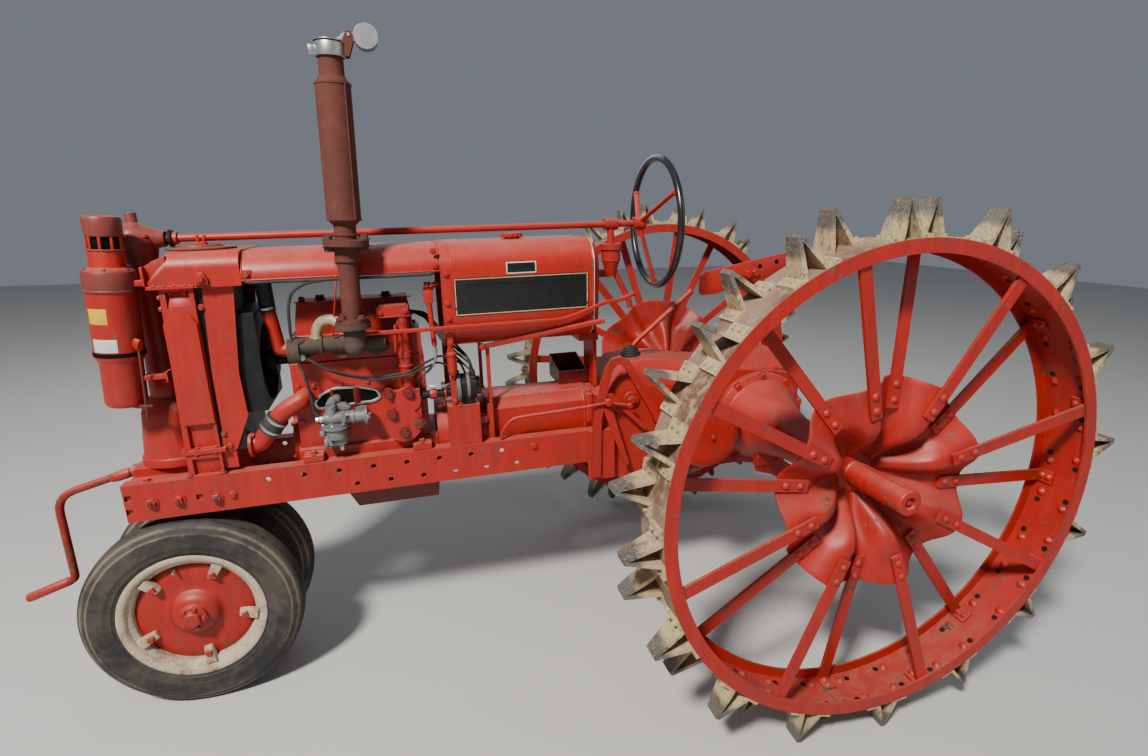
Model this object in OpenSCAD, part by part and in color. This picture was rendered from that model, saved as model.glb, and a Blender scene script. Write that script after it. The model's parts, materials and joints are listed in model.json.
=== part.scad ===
// Light row-crop tractor of the 1930s: a pair of close front wheels on rubber tyres under a
// vertical steering pivot, tall steel rear wheels with spade lugs, an open four-cylinder engine
// between channel rails and a long level steering shaft over the hood.
// The machine is modelled with its rails level, from the centre of the rear axle: X forwards,
// Y to the left, Z up. stance() then sets it down on its lugs and tyres, which tips it slightly.

/* [Stance] */
// Distance between the front and rear axles
wheelbase = 1956; // [1880:1:2060]
// Drop of the front axle below the rear axle when the rails are level
axle_drop = 423; // [405:1:440]
// Distance between the middle planes of the rear wheels
track = 1586; // [1540:2:1700]

/* [Rear wheels] */
// Outer radius of the steel rim
rim_r = 686; // [660:1:700]
// Width of the steel rim
rim_w = 152; // [130:1:170]
// Thickness of the rim plate
rim_wall = 7; // [5:0.5:10]
// Depth of the two flanges that turn in from the rim
rim_flange = 37; // [28:1:45]
// Lugs in each of the two rows
lugs_per_row = 16; // [12:4:20]
// Height of a lug's tip over the rim
lug_h = 100; // [80:1:120]
// Width of a lug where it stands on the rim
lug_w = 72; // [60:1:74]
// Width of a lug at its tip
lug_tip_w = 48; // [34:1:56]
// Thickness of the folded lug plate
lug_sheet = 8; // [6:0.5:10]
// Half spread of a lug's two legs on the rim
lug_spread = 35; // [28:1:42]
// Length of each lug foot
lug_foot = 34; // [24:1:38]
// Width of a flat spoke
spoke_w = 34; // [26:1:38]
// Thickness of a flat spoke
spoke_t = 10; // [8:0.5:12]
// Outer radius of the pressed hub disc
disc_r = 315; // [295:1:335]
// Depth of the dish of the hub disc, from the wheel's middle plane inwards
dish = 100; // [80:1:110]
// Thickness of the pressed hub disc
disc_t = 6; // [4:0.5:8]
// Radius of the rear axle shaft
axle_r = 27; // [22:0.5:32]
// How far the axle shaft stands out past the wheel's middle plane
axle_out = 116; // [90:1:130]

/* [Front wheels] */
// Outer radius of the front tyre
tyre_r = 316; // [305:1:325]
// Width of the front tyre
tyre_w = 112; // [100:1:120]
// Radius of the tyre's seat on the rim
seat_r = 190; // [185:1:200]
// Distance between the middle planes of the front wheels
front_track = 256; // [250:1:290]
// Radius of the front stub axle
stub_r = 22; // [18:0.5:24]
// Clamps that hold the front rim on its disc
clamps = 5; // [4:1:6]

/* [Rails] */
// How far the rails reach past the front axle
rail_out = 120; // [104:1:134]
// Rear end of the rails
rail_rear = 630; // [610:1:640]
// Distance between the outer faces of the rails
rails_w = 328; // [322:2:340]
// Top of the rails
rail_top = 28; // [20:1:34]
// Height of the rails
rail_h = 115; // [108:1:120]
// Thickness of the rail plate
rail_t = 9; // [7:0.5:11]
// Width of the rail flanges
rail_flange = 44; // [34:1:50]
// Pitch of the implement holes along the rails
hole_pitch = 103; // [98:1:104]
// Radius of the implement holes
hole_r = 8; // [6:0.5:9]

/* [Steering] */
// Height of the steering shaft over the header tank
shaft_rise = 34; // [30:1:42]
// Radius of the steering shaft
shaft_r = 11; // [9:0.5:13]
// Radius of the steering wheel
wheel_r = 229; // [210:1:240]
// Thickness of the steering wheel rim
wheel_rim_t = 24; // [20:1:28]
// Place of the steering wheel along the machine
wheel_x = 352; // [340:1:370]
// Radius of the vertical steering column
column_r = 44; // [38:1:48]
// Radius of the steering spindle below the bolster
spindle_r = 27; // [24:0.5:32]

/* [Radiator] */
// How far the radiator posts stand behind the front axle
rad_back = 59; // [52:1:66]
// Width of the radiator posts along the machine
rad_post = 100; // [92:1:108]
// Half width of the radiator over its posts
rad_half = 160; // [150:1:163]
// Height of the header tank over the radiator posts
header_h = 96; // [86:1:106]
// Length of the header tank
header_l = 227; // [218:1:234]
// Top of the radiator's header tank
rad_top = 682; // [674:1:690]
// Radius of the radiator cap
rad_cap_r = 100; // [85:1:105]

/* [Engine] */
// How far the engine block stands behind the front axle
block_back = 366; // [358:1:376]
// Length of the engine block
block_l = 400; // [392:1:408]
// Half width of the engine block
block_half = 105; // [98:1:110]
// Top of the engine block
block_top = 335; // [325:1:345]
// Height of the cylinder head
head_h = 70; // [62:1:76]
// Height of the valve cover
cover_h = 110; // [98:1:116]
// Half width of the valve cover
cover_half = 70; // [60:1:76]
// Bottom of the oil pan
pan_bottom = -165; // [-175:1:-155]

/* [Exhaust] */
// How far the exhaust stack stands behind the block's front face
stack_back = 205; // [195:1:215]
// How far the exhaust stack stands off the side of the hood
stack_off = 31; // [29:1:40]
// Radius of the lower exhaust pipe
pipe_r = 28; // [24:0.5:32]
// Radius of the silencer
silencer_r = 46; // [42:1:52]
// Top of the exhaust pipe
stack_top = 1208; // [1190:1:1220]
// Backward lean of the exhaust stack in degrees
stack_lean = 1.8; // [0:0.1:3]

/* [Hood and tank] */
// Width of the hoop in front of the tank, along the machine
hoop_w = 30; // [24:1:36]
// Rear end of the fuel tank
tank_rear = 612; // [600:1:630]
// Half width of the hood and tank
hood_half = 176; // [170:1:182]
// Depth of the hood's sides
hood_depth = 80; // [72:1:90]
// Depth of the fuel tank
tank_depth = 328; // [316:1:334]
// Thickness of the sheet metal
sheet = 3; // [2:0.5:4]

/* [Rear end] */
// Top of the transmission case under the gear lever
case_top = 245; // [235:1:260]
// Rear end of the transmission case behind the axle
case_rear = 175; // [165:1:190]
// Half width of the transmission case
case_half = 150; // [144:1:160]
// Length of the hub's neck between its disc and the axle housing
hub_neck = 53; // [44:1:60]
// Radius of the axle housings at their outer ends
housing_r = 66; // [60:1:72]
// Radius of the brake drums
drum_r = 118; // [108:1:124]
// Height of the drawbar below the rear axle
drawbar_drop = 395; // [380:1:410]
// Radius of the drawbar holes
drawbar_hole_r = 11; // [9:0.5:12]

/* [Hidden] */

// Space left between pieces that are bolted or turn against each other
gap = 0.3;
// Small overlap that fuses two forms of one piece
fuse = 1;
// Radial clearance of a shaft in its bore
running = 0.06;

red = [0.72, 0.16, 0.12];
dark_red = [0.5, 0.1, 0.08];
rust = [0.36, 0.2, 0.15];
black = [0.08, 0.08, 0.09];
grey = [0.55, 0.56, 0.56];

// Rear wheel: the tips of two neighbouring lugs carry it, half a lug pitch apart.
lug_step = 360 / lugs_per_row;
rest_turn = lug_step / 4;
tip_half = lug_sheet * 0.9;
tip_r = rim_r + lug_h;
axle_h = tip_r * cos(rest_turn) + tip_half * sin(rest_turn);
spoke_pitch = 2 * lug_step;
near_spokes = 360 / spoke_pitch;

// Starting crank, in the plane of the machine's middle
crank_r = 10;
crank_grip_r = 13;
rail_front = wheelbase + rail_out;
crank_seat = [rail_front + 26, 12];
crank_knee = [crank_seat.x + 214, -42];
crank_elbow = [crank_knee.x + 5, -325];
crank_end = [crank_elbow.x + 138, crank_elbow.y - 44];

// Hinge of the rain cap: behind the pipe, at the height of its lip
cap_hinge = 50;
cap_pin_r = 4;
cap_pin_z = 18;
band_r = 37;

// Ends of the steering wheel's hub, ahead of its rim
wheel_hub = [38, 84];

// Place of the drawbar's hangers under the axle housings
hanger_y = 250;
hanger_z = 150;

// Top of the bell housing's square rear part, and of the tube behind it
bell_top = 165;
tube_top = 155;

// Lean that brings the front tyres and the rear lugs down to one floor
axle_line = norm([wheelbase, axle_drop]);
lean = asin((axle_h - tyre_r) / axle_line) - atan2(axle_drop, wheelbase);
crank_slope = atan2(crank_elbow.y - crank_end.y, crank_end.x - crank_elbow.x) + lean;
crank_reach = crank_end.x * cos(lean) + crank_end.y * sin(lean) + crank_grip_r * sin(crank_slope);
axle_x = (axle_h - crank_reach) / 2;

// Places along the machine that follow the front axle
rad_front = wheelbase - rad_back;
rad_rear = rad_front - rad_post;
core_rear = rad_rear - 68;
bolster_rear = rad_rear - 14;
hood_front = rad_front - header_l;
block_front = wheelbase - block_back;
block_rear = block_front - block_l;
bell_rear = block_rear - 190;
stack_x = block_front - stack_back;
nose_x = wheelbase - 76;
cleaner = [wheelbase + 50, 130];

// Places of the hood, the tank and what stands behind it
tank_front = block_rear - 98;
hood_rear = tank_front + hoop_w;
tank_cap_x = (tank_front + tank_rear) / 2 + 16;
upright_x = tank_rear - 18;
cup_x = upright_x - 75;
case_front = rail_rear - gap;

// Places across the machine
rail_y = rails_w / 2;
rail_in = rail_y - rail_flange - gap;
strap_t = 12;
strap_y = rail_y + gap + strap_t;
head_half = block_half - 4;
manifold_y = block_half + 46;
stack_y = hood_half + stack_off;
leg_y = hood_half - 24;
housing_end = track / 2 - dish - hub_neck;

// Heights
rail_low = rail_top - rail_h;
rad_post_top = rad_top - header_h;
shaft_z = rad_top + shaft_rise;
column_top = shaft_z - 76;
hood_top = rad_top - 2;
hood_low = hood_top - hood_depth;
tank_low = hood_top - tank_depth;
support_top = shaft_z - 146;
head_top = block_top + head_h;
cover_top = head_top + cover_h;
manifold_z = block_top + 63;
stack_foot = manifold_z + 68;
breather_z = cover_top - 31;
cover_flat = 236;
fan_z = 330;
fan_r = 112;

// Sets the machine down: the origin is on the floor, under the middle of the whole object.
module stance() {
  translate([axle_x, 0, axle_h]) rotate([0, lean, 0]) children();
}

// Puts a rear wheel, which rolls to its own rest angle, on the rear axle.
module rear_place(side) {
  translate([axle_x, side * track / 2, axle_h]) mirror([0, side < 0 ? 1 : 0, 0]) children();
}

// Puts a front wheel on its stub axle.
module front_place(side) {
  stance() translate([wheelbase, side * front_track / 2, -axle_drop])
    mirror([0, side < 0 ? 1 : 0, 0]) children();
}

// Solid of revolution about the Y axis from an outline of radius and place along Y
module spin_y() {
  rotate([-90, 0, 0]) rotate_extrude() children();
}

// Cylinder along Y between two places, at x and z
module ycyl(x, z, y0, y1, r) {
  translate([x, y0, z]) rotate([-90, 0, 0]) cylinder(h = y1 - y0, r = r);
}

// Cylinder along X between two places, at y and z
module xcyl(y, z, x0, x1, r) {
  translate([x0, y, z]) rotate([0, 90, 0]) cylinder(h = x1 - x0, r = r);
}

// Plate with an outline in X and Z, between two places along Y
module side_plate(points, y0, y1) {
  translate([0, y1, 0]) rotate([90, 0, 0]) linear_extrude(y1 - y0) polygon(points);
}

// Bar with an outline in Y and Z, between two places along X
module long_bar(points, x0, x1) {
  translate([x0, 0, 0]) rotate([90, 0, 90]) linear_extrude(x1 - x0) polygon(points);
}

// Block between two corners
module block(low, high) {
  translate(low) cube(high - low);
}

// Round rod from one point to another
module rod(a, b, r) {
  d = b - a;
  translate(a) rotate([0, acos(d.z / norm(d)), atan2(d.y, d.x)]) cylinder(h = norm(d), r = r);
}

// Round rod along a list of points, with a slightly larger ball at each bend
module bent_rod(points, r) {
  for (i = [1:len(points) - 1]) rod(points[i - 1], points[i], r);
  for (i = [1:len(points) - 2]) translate(points[i]) sphere(r = r + 1);
}

// Row of cylinders along Y, used to drill a pattern
module drill_row(x0, pitch, count, z, y0, y1, r) {
  for (i = [0:count - 1]) ycyl(x0 + i * pitch, z, y0, y1, r);
}

// Channel rail with its web outside and its implement holes
module frame_rail(side) {
  web_in = rail_y - rail_t;
  lip = rail_y - rail_flange;
  outline = [
    [rail_y, rail_low], [rail_y, rail_top], [lip, rail_top], [lip, rail_top - rail_t],
    [web_in, rail_top - rail_t], [web_in, rail_low + rail_t], [lip, rail_low + rail_t],
    [lip, rail_low]
  ];
  upper_row = rail_top - 33;
  lower_row = rail_top - 85;
  color(red) mirror([0, side < 0 ? 1 : 0, 0]) difference() {
    long_bar(outline, rail_rear, rail_front);
    drill_row(rail_rear + 335, hole_pitch, 8, upper_row, web_in - 1, rail_y + 1, hole_r);
    drill_row(rail_rear + 286, hole_pitch, 6, lower_row, web_in - 1, rail_y + 1, hole_r);
    for (p = [[13, 40], [10, 84], [198, 62]]) block(
      [rail_front - p[0] - 9, web_in - 1, rail_top - p[1] - 9],
      [rail_front - p[0] + 9, rail_y + 1, rail_top - p[1] + 9]
    );
  }
}

module frame_rail_left() {
  stance() frame_rail(1);
}

module frame_rail_right() {
  stance() frame_rail(-1);
}

// Front casting between the rails, with the lower bearing of the steering spindle
module front_bolster() {
  half = rail_y - rail_t - gap;
  lip = rail_t + gap;
  boss_r = spindle_r + 24;
  color(red) stance() difference() {
    union() {
      block([bolster_rear, -half, rail_low + lip], [rail_front, half, rail_top - lip]);
      block([rad_front - 2, -80, rail_top - lip - fuse], [rail_front - 8, 80, rail_top + 18]);
      translate([wheelbase, 0, rail_low - 36]) cylinder(h = rail_h, r = boss_r);
      xcyl(0, crank_seat.y, rail_front - fuse, crank_seat.x - 6, 24);
    }
    translate([wheelbase, 0, rail_low - 37])
      cylinder(h = rail_h * 0.8, r = spindle_r + running);
    xcyl(0, crank_seat.y, rail_front - 30, rail_front + 23, crank_r + gap);
  }
}

// Foot and tapered column that carry the steering gear, cut flat where the radiator stands
module steering_pedestal() {
  foot_low = rail_top + 18 + gap;
  foot_half = 74;
  skirt_low = foot_low + 20;
  color(red) stance() difference() {
    union() {
      block([rad_front + 3, -foot_half, foot_low], [rail_front - 40, foot_half, skirt_low + 4]);
      translate([wheelbase, 0, 0]) rotate_extrude() polygon([
        [0, foot_low], [104, foot_low], [104, skirt_low], [98, skirt_low + 10], [90, 150], [84, 205],
        [72, 236], [52, 254], [50, 300], [column_r, 420], [column_r, column_top], [0, column_top]
      ]);
    }
    block([rad_rear, -120, foot_low - 1], [rad_front - 18, 120, 260]);
  }
}

// Worm gear case on the column, with its filler stub and the nose that takes the shaft
module steering_gear_case() {
  case_low = column_top + gap;
  color(dark_red) stance() difference() {
    union() {
      hull() {
        translate([wheelbase + 8, 0, case_low + 14]) cylinder(h = 74, r = 56, $fn = 40);
        translate([wheelbase - 28, 0, shaft_z - 34]) cylinder(h = 60, r = 30, $fn = 40);
      }
      translate([wheelbase, 0, case_low]) cylinder(h = 20, r = 54);
      translate([wheelbase + 8, 0, case_low + 66]) cylinder(h = 12, r = 62);
      translate([wheelbase + 14, 0, shaft_z + 10]) cylinder(h = 66, r = 19);
      translate([wheelbase + 14, 0, shaft_z + 56]) cylinder(h = 16, r = 23);
      xcyl(0, shaft_z, nose_x, wheelbase - 20, 19);
      xcyl(0, shaft_z, nose_x + 22, nose_x + 32, 27);
    }
    xcyl(0, shaft_z, nose_x - 1, nose_x + 40, shaft_r + running);
  }
}

// Core with its fan shroud behind
module radiator_core() {
  shroud_rear = core_rear - 68;
  shroud_half = 130;
  core_half = rad_half - 16 - gap;
  core_low = 96;
  color(black) stance() {
    block([core_rear, -core_half, core_low], [rad_front - 22, core_half, rad_post_top - gap]);
    difference() {
      block([shroud_rear, -shroud_half, core_low + 108], [core_rear + fuse, shroud_half, rad_post_top - 84]);
      xcyl(0, fan_z, shroud_rear - 1, core_rear - 4, fan_r + 12);
    }
  }
}

// Cast post with its three windows, the ledge between two of them and its raised panel
module radiator_post(side) {
  in_y = rad_half - 16;
  low = rail_top + gap;
  windows = [[low + 6, low + 56], [low + 88, low + 158], [rad_post_top - 56, rad_post_top - 9]];
  panel = [low + 164, rad_post_top - 97];
  panel_x = [rad_rear + 4, rad_front - 12];
  mirror([0, side < 0 ? 1 : 0, 0]) {
    difference() {
      side_plate([
        [rad_rear + 4, low], [rad_front, low], [rad_front - 16, rad_post_top + fuse],
        [rad_rear, rad_post_top + fuse]
      ], in_y, rad_half);
      for (w = windows) block(
        [rad_rear + 12, in_y - 1, w[0]],
        [rad_front - 14 - 16 * w[1] / rad_post_top, rad_half + 1, w[1]]
      );
    }
    block([rad_rear - 12, in_y + 4, low + 72], [rad_front + 6, rad_half + 6, low + 84]);
    block([rad_rear, in_y + 4, low], [rad_front + 6, rad_half + 3, low + 5]);
    block([panel_x[0], rad_half - 1, panel[0]], [panel_x[1], rad_half + 7, panel[1]]);
    hull() {
      block([panel_x[0], rad_half - 1, panel[1] - 1], [panel_x[1], rad_half + 7, panel[1]]);
      block([panel_x[0] + 24, rad_half - 1, panel[1] + 36], [panel_x[1] - 24, rad_half, panel[1] + 37]);
    }
  }
}

// Cast posts under the header tank, the side plates of the core and the cross-piece below it
module radiator_frame() {
  tank_half = rad_half + 10;
  round_r = 46;
  side_y = rad_half - 16;
  plate = [
    [rad_rear - 20, rad_post_top + fuse], [rad_rear - 100, rad_post_top + fuse], [rad_rear - 77, 330],
    [rad_rear - 83, 202], [rad_rear - 39, 100], [rad_rear + 2, 80], [rad_rear + 2, 120],
    [rad_rear - 6, 150], [rad_rear - 6, 336]
  ];
  color(red) stance() {
    for (side = [-1, 1]) radiator_post(side);
    block([rad_rear - 34, -side_y - fuse, 40], [rad_front - 24, side_y + fuse, 96 - gap]);
    for (side = [-1, 1]) mirror([0, side < 0 ? 1 : 0, 0]) side_plate(plate, side_y, side_y + 5);
    hull() {
      block([hood_front + gap, -tank_half, rad_post_top], [rad_front + 2, tank_half, rad_post_top + 20]);
      for (side = [-1, 1])
        translate([hood_front + gap, side * (tank_half - round_r), rad_top - round_r])
          rotate([0, 90, 0]) cylinder(h = header_l - 44, r = round_r, $fn = 40);
    }
    block([rad_rear - 6, -tank_half - 3, rad_post_top], [rad_front + 10, tank_half + 3, rad_post_top + 9]);
  }
}

// Broad lid of the header tank, which lies close under the steering shaft
module radiator_cap() {
  rim_h = 7;
  color(red) stance() translate([rad_front - 109, 0, rad_top + gap]) {
    cylinder(h = rim_h, r = rad_cap_r);
    translate([0, 0, rim_h - 0.01]) cylinder(h = 8, r1 = rad_cap_r - 6, r2 = 50);
  }
}

// Four-bladed fan on its spindle at the front of the block
module cooling_fan() {
  fan_x = block_front + 78;
  color(black) stance() {
    xcyl(0, fan_z, block_front + gap, fan_x + 24, 15);
    xcyl(0, fan_z, block_front + gap, block_front + 12, 40);
    xcyl(0, fan_z, fan_x - 30, fan_x - 4, 44);
    for (a = [0:90:270]) translate([fan_x + 8, 0, fan_z]) rotate([a, 0, 0])
      rotate([0, 0, 24]) block([-2, -24, 12], [2, 24, fan_r]);
  }
}

// Block with its crankcase between the rails, feet on the rails and a timing cover in front
module engine_block() {
  foot_low = rail_top + gap;
  feet = [[block_rear, block_rear + 60], [block_front - 70, block_front - 10]];
  color(red) stance() {
    block([block_rear, -block_half, foot_low], [block_front, block_half, block_top]);
    block([block_rear - 24, -rail_in, -58], [block_front + 6, rail_in, 60]);
    for (f = feet) block([f[0], -rail_y + 6, foot_low], [f[1], rail_y - 6, foot_low + 24]);
    xcyl(0, 60, block_front - 1, block_front + 22, 92);
  }
}

// Cylinder head with its valve cover, and the pad that takes the breather box
module cylinder_head() {
  low = block_top + gap;
  color(dark_red) stance() {
    block([block_rear + 4, -head_half, low], [block_front, head_half, head_top]);
    hull() {
      block([block_rear + 26, -cover_half, head_top - 1], [block_front - 26, cover_half, head_top + 40]);
      block([block_rear + 36, 16 - cover_half, cover_top - 20],
        [block_front - 36, cover_half - 16, cover_top]);
    }
    block([block_rear + 22, -cover_half - 5, head_top - 1], [block_front - 22, cover_half + 5, head_top + 8]);
    block([block_rear + 40, cover_half - 20, breather_z - 16],
      [block_rear + 130, cover_half + 10, breather_z + 16]);
  }
}

module oil_pan() {
  high = -58 - gap;
  color(dark_red) stance() hull() {
    block([block_rear - 20, -rail_in + 4, high - 20], [block_front - 110, rail_in - 4, high]);
    block([block_rear - 10, -98, pan_bottom], [block_front - 150, 98, pan_bottom + 10]);
  }
}

// Manifold on the left side of the head, with the elbow and flange under the stack
module exhaust_manifold() {
  elbow_r = 30;
  port_z = manifold_z - 26;
  color(rust) stance() {
    xcyl(manifold_y, manifold_z, block_front - 290, block_front - 24, 24);
    for (x = [260, 160, 45]) ycyl(block_front - x, port_z, head_half + gap, manifold_y, 20);
    xcyl(manifold_y, manifold_z - 14, block_front - 44, block_front - 12, 37);
    ycyl(stack_x, manifold_z, manifold_y, stack_y, elbow_r);
    translate([stack_x, stack_y, manifold_z]) sphere(r = elbow_r + 2);
    translate([stack_x, stack_y, manifold_z]) cylinder(h = 56, r = elbow_r);
    translate([stack_x, stack_y, stack_foot - 16]) cylinder(h = 16, r = 50);
  }
}

// Exhaust pipe, silencer and tail pipe, which lean back together, with the ears of the rain cap
module exhaust_stack() {
  foot = stack_foot + gap;
  high = stack_top - foot;
  outline = [
    [0, 5], [pipe_r, 5], [pipe_r, 176], [34, 176], [34, 214], [62, 220], [62, 236], [30, 238],
    [30, 276], [silencer_r, 292], [silencer_r, high - 102], [32, high - 80], [32, high - 36],
    [band_r, high - 36], [band_r, high], [0, high]
  ];
  color(rust) stance() translate([stack_x, stack_y, foot]) {
    cylinder(h = 14, r = 46);
    rotate([0, -stack_lean, 0]) {
      rotate_extrude() polygon(outline);
      for (side = [-1, 1]) mirror([0, side < 0 ? 1 : 0, 0]) difference() {
        side_plate([
          [-30, high - 34], [-30, high - 4], [8 - cap_hinge, high + cap_pin_z + 8],
          [-cap_hinge - 6, high + cap_pin_z + 10], [-cap_hinge - 14, high + cap_pin_z - 4],
          [2 - cap_hinge, high - 34]
        ], 12 + gap, 16);
        ycyl(-cap_hinge, cap_pin_z + high, 12, 19, cap_pin_r + running);
      }
    }
  }
}

// Hinged flap with its two balance discs, turned about a pin in the ears of the pipe
module rain_cap() {
  sheet_t = 3;
  color(grey) stance() translate([stack_x, stack_y, stack_foot + gap]) rotate([0, -stack_lean, 0])
    translate([0, 0, stack_top - stack_foot - gap]) {
      difference() {
        translate([0, 0, gap]) cylinder(h = sheet_t, r = band_r + 3);
        block([-band_r - 4, -22, 0], [-26, 22, 9]);
      }
      for (side = [-1, 1]) mirror([0, side < 0 ? 1 : 0, 0]) {
        side_plate([
          [-36, gap], [20, gap], [20, sheet_t], [-22, sheet_t + 6], [8 - cap_hinge, cap_pin_z + 8],
          [-cap_hinge - 8, cap_pin_z + 8], [-cap_hinge - 8, cap_pin_z - 6]
        ], 7, 12);
        side_plate([
          [-cap_hinge - 7, cap_pin_z + 8], [-cap_hinge - 7, cap_pin_z - 8],
          [-cap_hinge - 60, cap_pin_z - 12], [-cap_hinge - 60, cap_pin_z + 8]
        ], 9, 12);
        ycyl(-cap_hinge - 43, cap_pin_z - 1, 17, 21, 31);
        ycyl(-cap_hinge - 43, cap_pin_z - 1, 11, 18, 12);
      }
      ycyl(-cap_hinge, cap_pin_z, -19, 19, cap_pin_r);
    }
}

// Governor housing with its riser pipe and the breather box on the valve cover
module governor() {
  near = block_half + 51;
  back = block_half + gap;
  pipe_y = block_half + 25;
  color(red) stance() {
    ycyl(block_rear + 82, 120, back, near, 56);
    ycyl(block_rear + 62, 200, back, near, 40);
    block([block_rear + 23, back, 120], [block_rear + 112, near - 6, 230]);
    ycyl(block_rear + 118, 224, back, near - 4, 15);
    translate([block_rear + 57, pipe_y, 200]) cylinder(h = breather_z - 210, r = 19);
    translate([block_rear + 57, pipe_y, 262]) cylinder(h = 14, r = 24);
    translate([block_rear + 57, pipe_y, 336]) cylinder(h = 18, r = 22);
    block([block_rear + 35, cover_half + 10 + gap, breather_z - 16],
      [block_rear + 130, near - 6, breather_z + 12]);
  }
}

// Carburettor on its flanged elbow: bowl, throat and the air horn below
module carburettor() {
  mid = [block_front - 115, block_half + 50];
  color(grey) stance() {
    translate([mid.x, mid.y, 104]) cylinder(h = 40, r = 33);
    translate([mid.x, mid.y, 140]) cylinder(h = 10, r = 40);
    translate([mid.x + 8, mid.y, 146]) cylinder(h = 60, r = 17);
    xcyl(mid.y, 166, mid.x - 96, mid.x + 30, 19);
    xcyl(mid.y, 166, mid.x - 98, mid.x - 88, 30);
    ycyl(mid.x - 78, 166, block_half + gap, mid.y, 20);
    translate([mid.x - 12, mid.y, 84]) cylinder(h = 26, r = 20);
    xcyl(mid.y, 92, mid.x - 12, mid.x + 36, 18);
  }
}

// Magneto on its bracket over the bell housing, driven from the governor gears
module magneto() {
  mid = [block_half + 23, 222];
  color(black) stance() {
    xcyl(mid[0], mid[1], bell_rear + 34, bell_rear + 88, 42);
    xcyl(mid[0], mid[1], bell_rear + 86, bell_rear + 98, 50);
    xcyl(mid[0], 205, bell_rear + 90, block_rear + 22, 13);
    block([bell_rear + 40, mid[0] - 28, bell_top + gap], [bell_rear + 80, mid[0] + 22, 200]);
  }
}

// Lower pipe from the radiator to the block, and the upper pipe from the head into the header tank
module water_pipes() {
  lower_r = 23;
  lower_y = block_half + 29;
  upper_r = 19;
  upper_y = 60;
  entry_z = rad_top - 58;
  color(red) stance() {
    bent_rod([
      [core_rear - gap, 120, 124], [core_rear - 27, 120, 124], [block_front + 32, lower_y, 198],
      [block_front - 30, lower_y, 230], [block_front - 30, block_half + gap, 230]
    ], lower_r);
    bent_rod([
      [block_front + gap, upper_y, 372], [block_front + 28, upper_y, 372],
      [block_front + 44, upper_y, 500], [block_front + 48, upper_y, entry_z],
      [hood_front, upper_y, entry_z]
    ], upper_r);
  }
}

// Oil-bath air cleaner with its intake cap, on a bracket from the header tank
module air_cleaner() {
  body_r = 78;
  lid = rad_post_top - 8;
  outline = [
    [0, lid - 316], [60, lid - 316], [66, lid - 308], [66, lid - 186], [72, lid - 180],
    [body_r, lid - 174], [body_r, lid - 2], [82, lid], [82, lid + 60], [76, lid + 70],
    [42, lid + 74], [42, lid + 112], [38, lid + 114], [38, lid + 122], [57, lid + 124],
    [57, lid + 196], [52, lid + 204], [0, lid + 208]
  ];
  color(red) stance() {
    translate([cleaner.x, cleaner.y, 0]) rotate_extrude() polygon(outline);
    block([rad_front + 10 + gap, 112, lid + 10], [cleaner.x - 62, 148, lid + 26]);
  }
}

// Loose starting crank that hangs in its socket
module starting_crank() {
  color(red) stance() {
    bent_rod([
      [rail_front - 24, 0, crank_seat.y], [crank_seat.x, 0, crank_seat.y], [crank_knee.x, 0, crank_knee.y],
      [crank_elbow.x, 0, crank_elbow.y], [crank_end.x - 100, 0, crank_end.y + 32]
    ], crank_r);
    rod([crank_elbow.x + 10, 0, crank_elbow.y - 3], [crank_end.x, 0, crank_end.y], crank_grip_r);
  }
}

// Bell housing behind the engine: round between the rails, square where it stands on them
module clutch_housing() {
  front = block_rear - 24 - gap;
  color(red) stance() {
    block([bell_rear, -rail_in, -70], [front, rail_in, 40]);
    xcyl(0, 30, bell_rear, front, rail_in);
    block([bell_rear + 28, -rail_y + 4, rail_top + gap], [bell_rear + 131, rail_y - 4, bell_top]);
  }
}

// Narrow tube between the bell housing and the transmission
module torque_tube() {
  half = 92;
  front = bell_rear - gap;
  rear = case_front + gap;
  color(red) stance() {
    long_bar([
      [-half, 10], [-half, tube_top - 37], [-half + 16, tube_top - 21], [-half + 26, tube_top],
      [half - 26, tube_top], [half - 16, tube_top - 21], [half, tube_top - 37], [half, 10]
    ], rear, front);
    for (x = [rear, front - 22]) block([x, -rail_in, -20], [x + 22, rail_in, tube_top - 7]);
  }
}

// Main case: its top falls from the gear lever towards the rear, over the axle
case_line = [
  [-case_rear, 150], [-60, 172], [160, 200], [330, case_top - 6], [420, case_top],
  [510, case_top - 8], [586, 150], [case_front, 150]
];
module transmission_case() {
  low = -175;
  cover_low = 140;
  bevel_x = 196;
  under = [[case_front, -152], [520, low], [-120, low], [-case_rear, -120]];
  section = [
    [-case_half, low], [-case_half, 158], [-92, case_top], [92, case_top], [case_half, 158],
    [case_half, low]
  ];
  color(red) stance() {
    intersection() {
      side_plate(concat(case_line, under), -case_half, case_half);
      union() {
        long_bar(section, bevel_x, case_front);
        block([-case_rear, -case_half, low], [bevel_x + fuse, case_half, case_top]);
      }
    }
    hull() {
      block([-150, -128, cover_low], [140, 128, 172]);
      block([-110, -84, cover_low], [100, 84, cover_flat]);
    }
    for (side = [-1, 1]) mirror([0, side < 0 ? 1 : 0, 0]) {
      block([570, case_half - 1, -140], [case_front, strap_y, rail_top]);
      block([570, rail_y + gap, -153], [664, strap_y, rail_top]);
      ycyl(500, 122, case_half - 1, case_half + 7, 27);
    }
  }
}

// Bell-shaped axle housing, bolted to the case, with a flat foot for the drawbar
module axle_housing(side) {
  start = case_half + gap;
  outline = [
    [0, start], [176, start], [176, start + 26], [150, start + 40], [106, start + 130],
    [housing_r + 14, start + 230], [housing_r, housing_end - 60], [housing_r, housing_end],
    [0, housing_end]
  ];
  color(red) mirror([0, side < 0 ? 1 : 0, 0]) difference() {
    union() {
      spin_y() polygon(outline);
      block([-56, hanger_y - 16, -hanger_z], [56, hanger_y + 16, -60]);
    }
    ycyl(0, 0, housing_end - 40, housing_end + 1, axle_r + running);
  }
}

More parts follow.
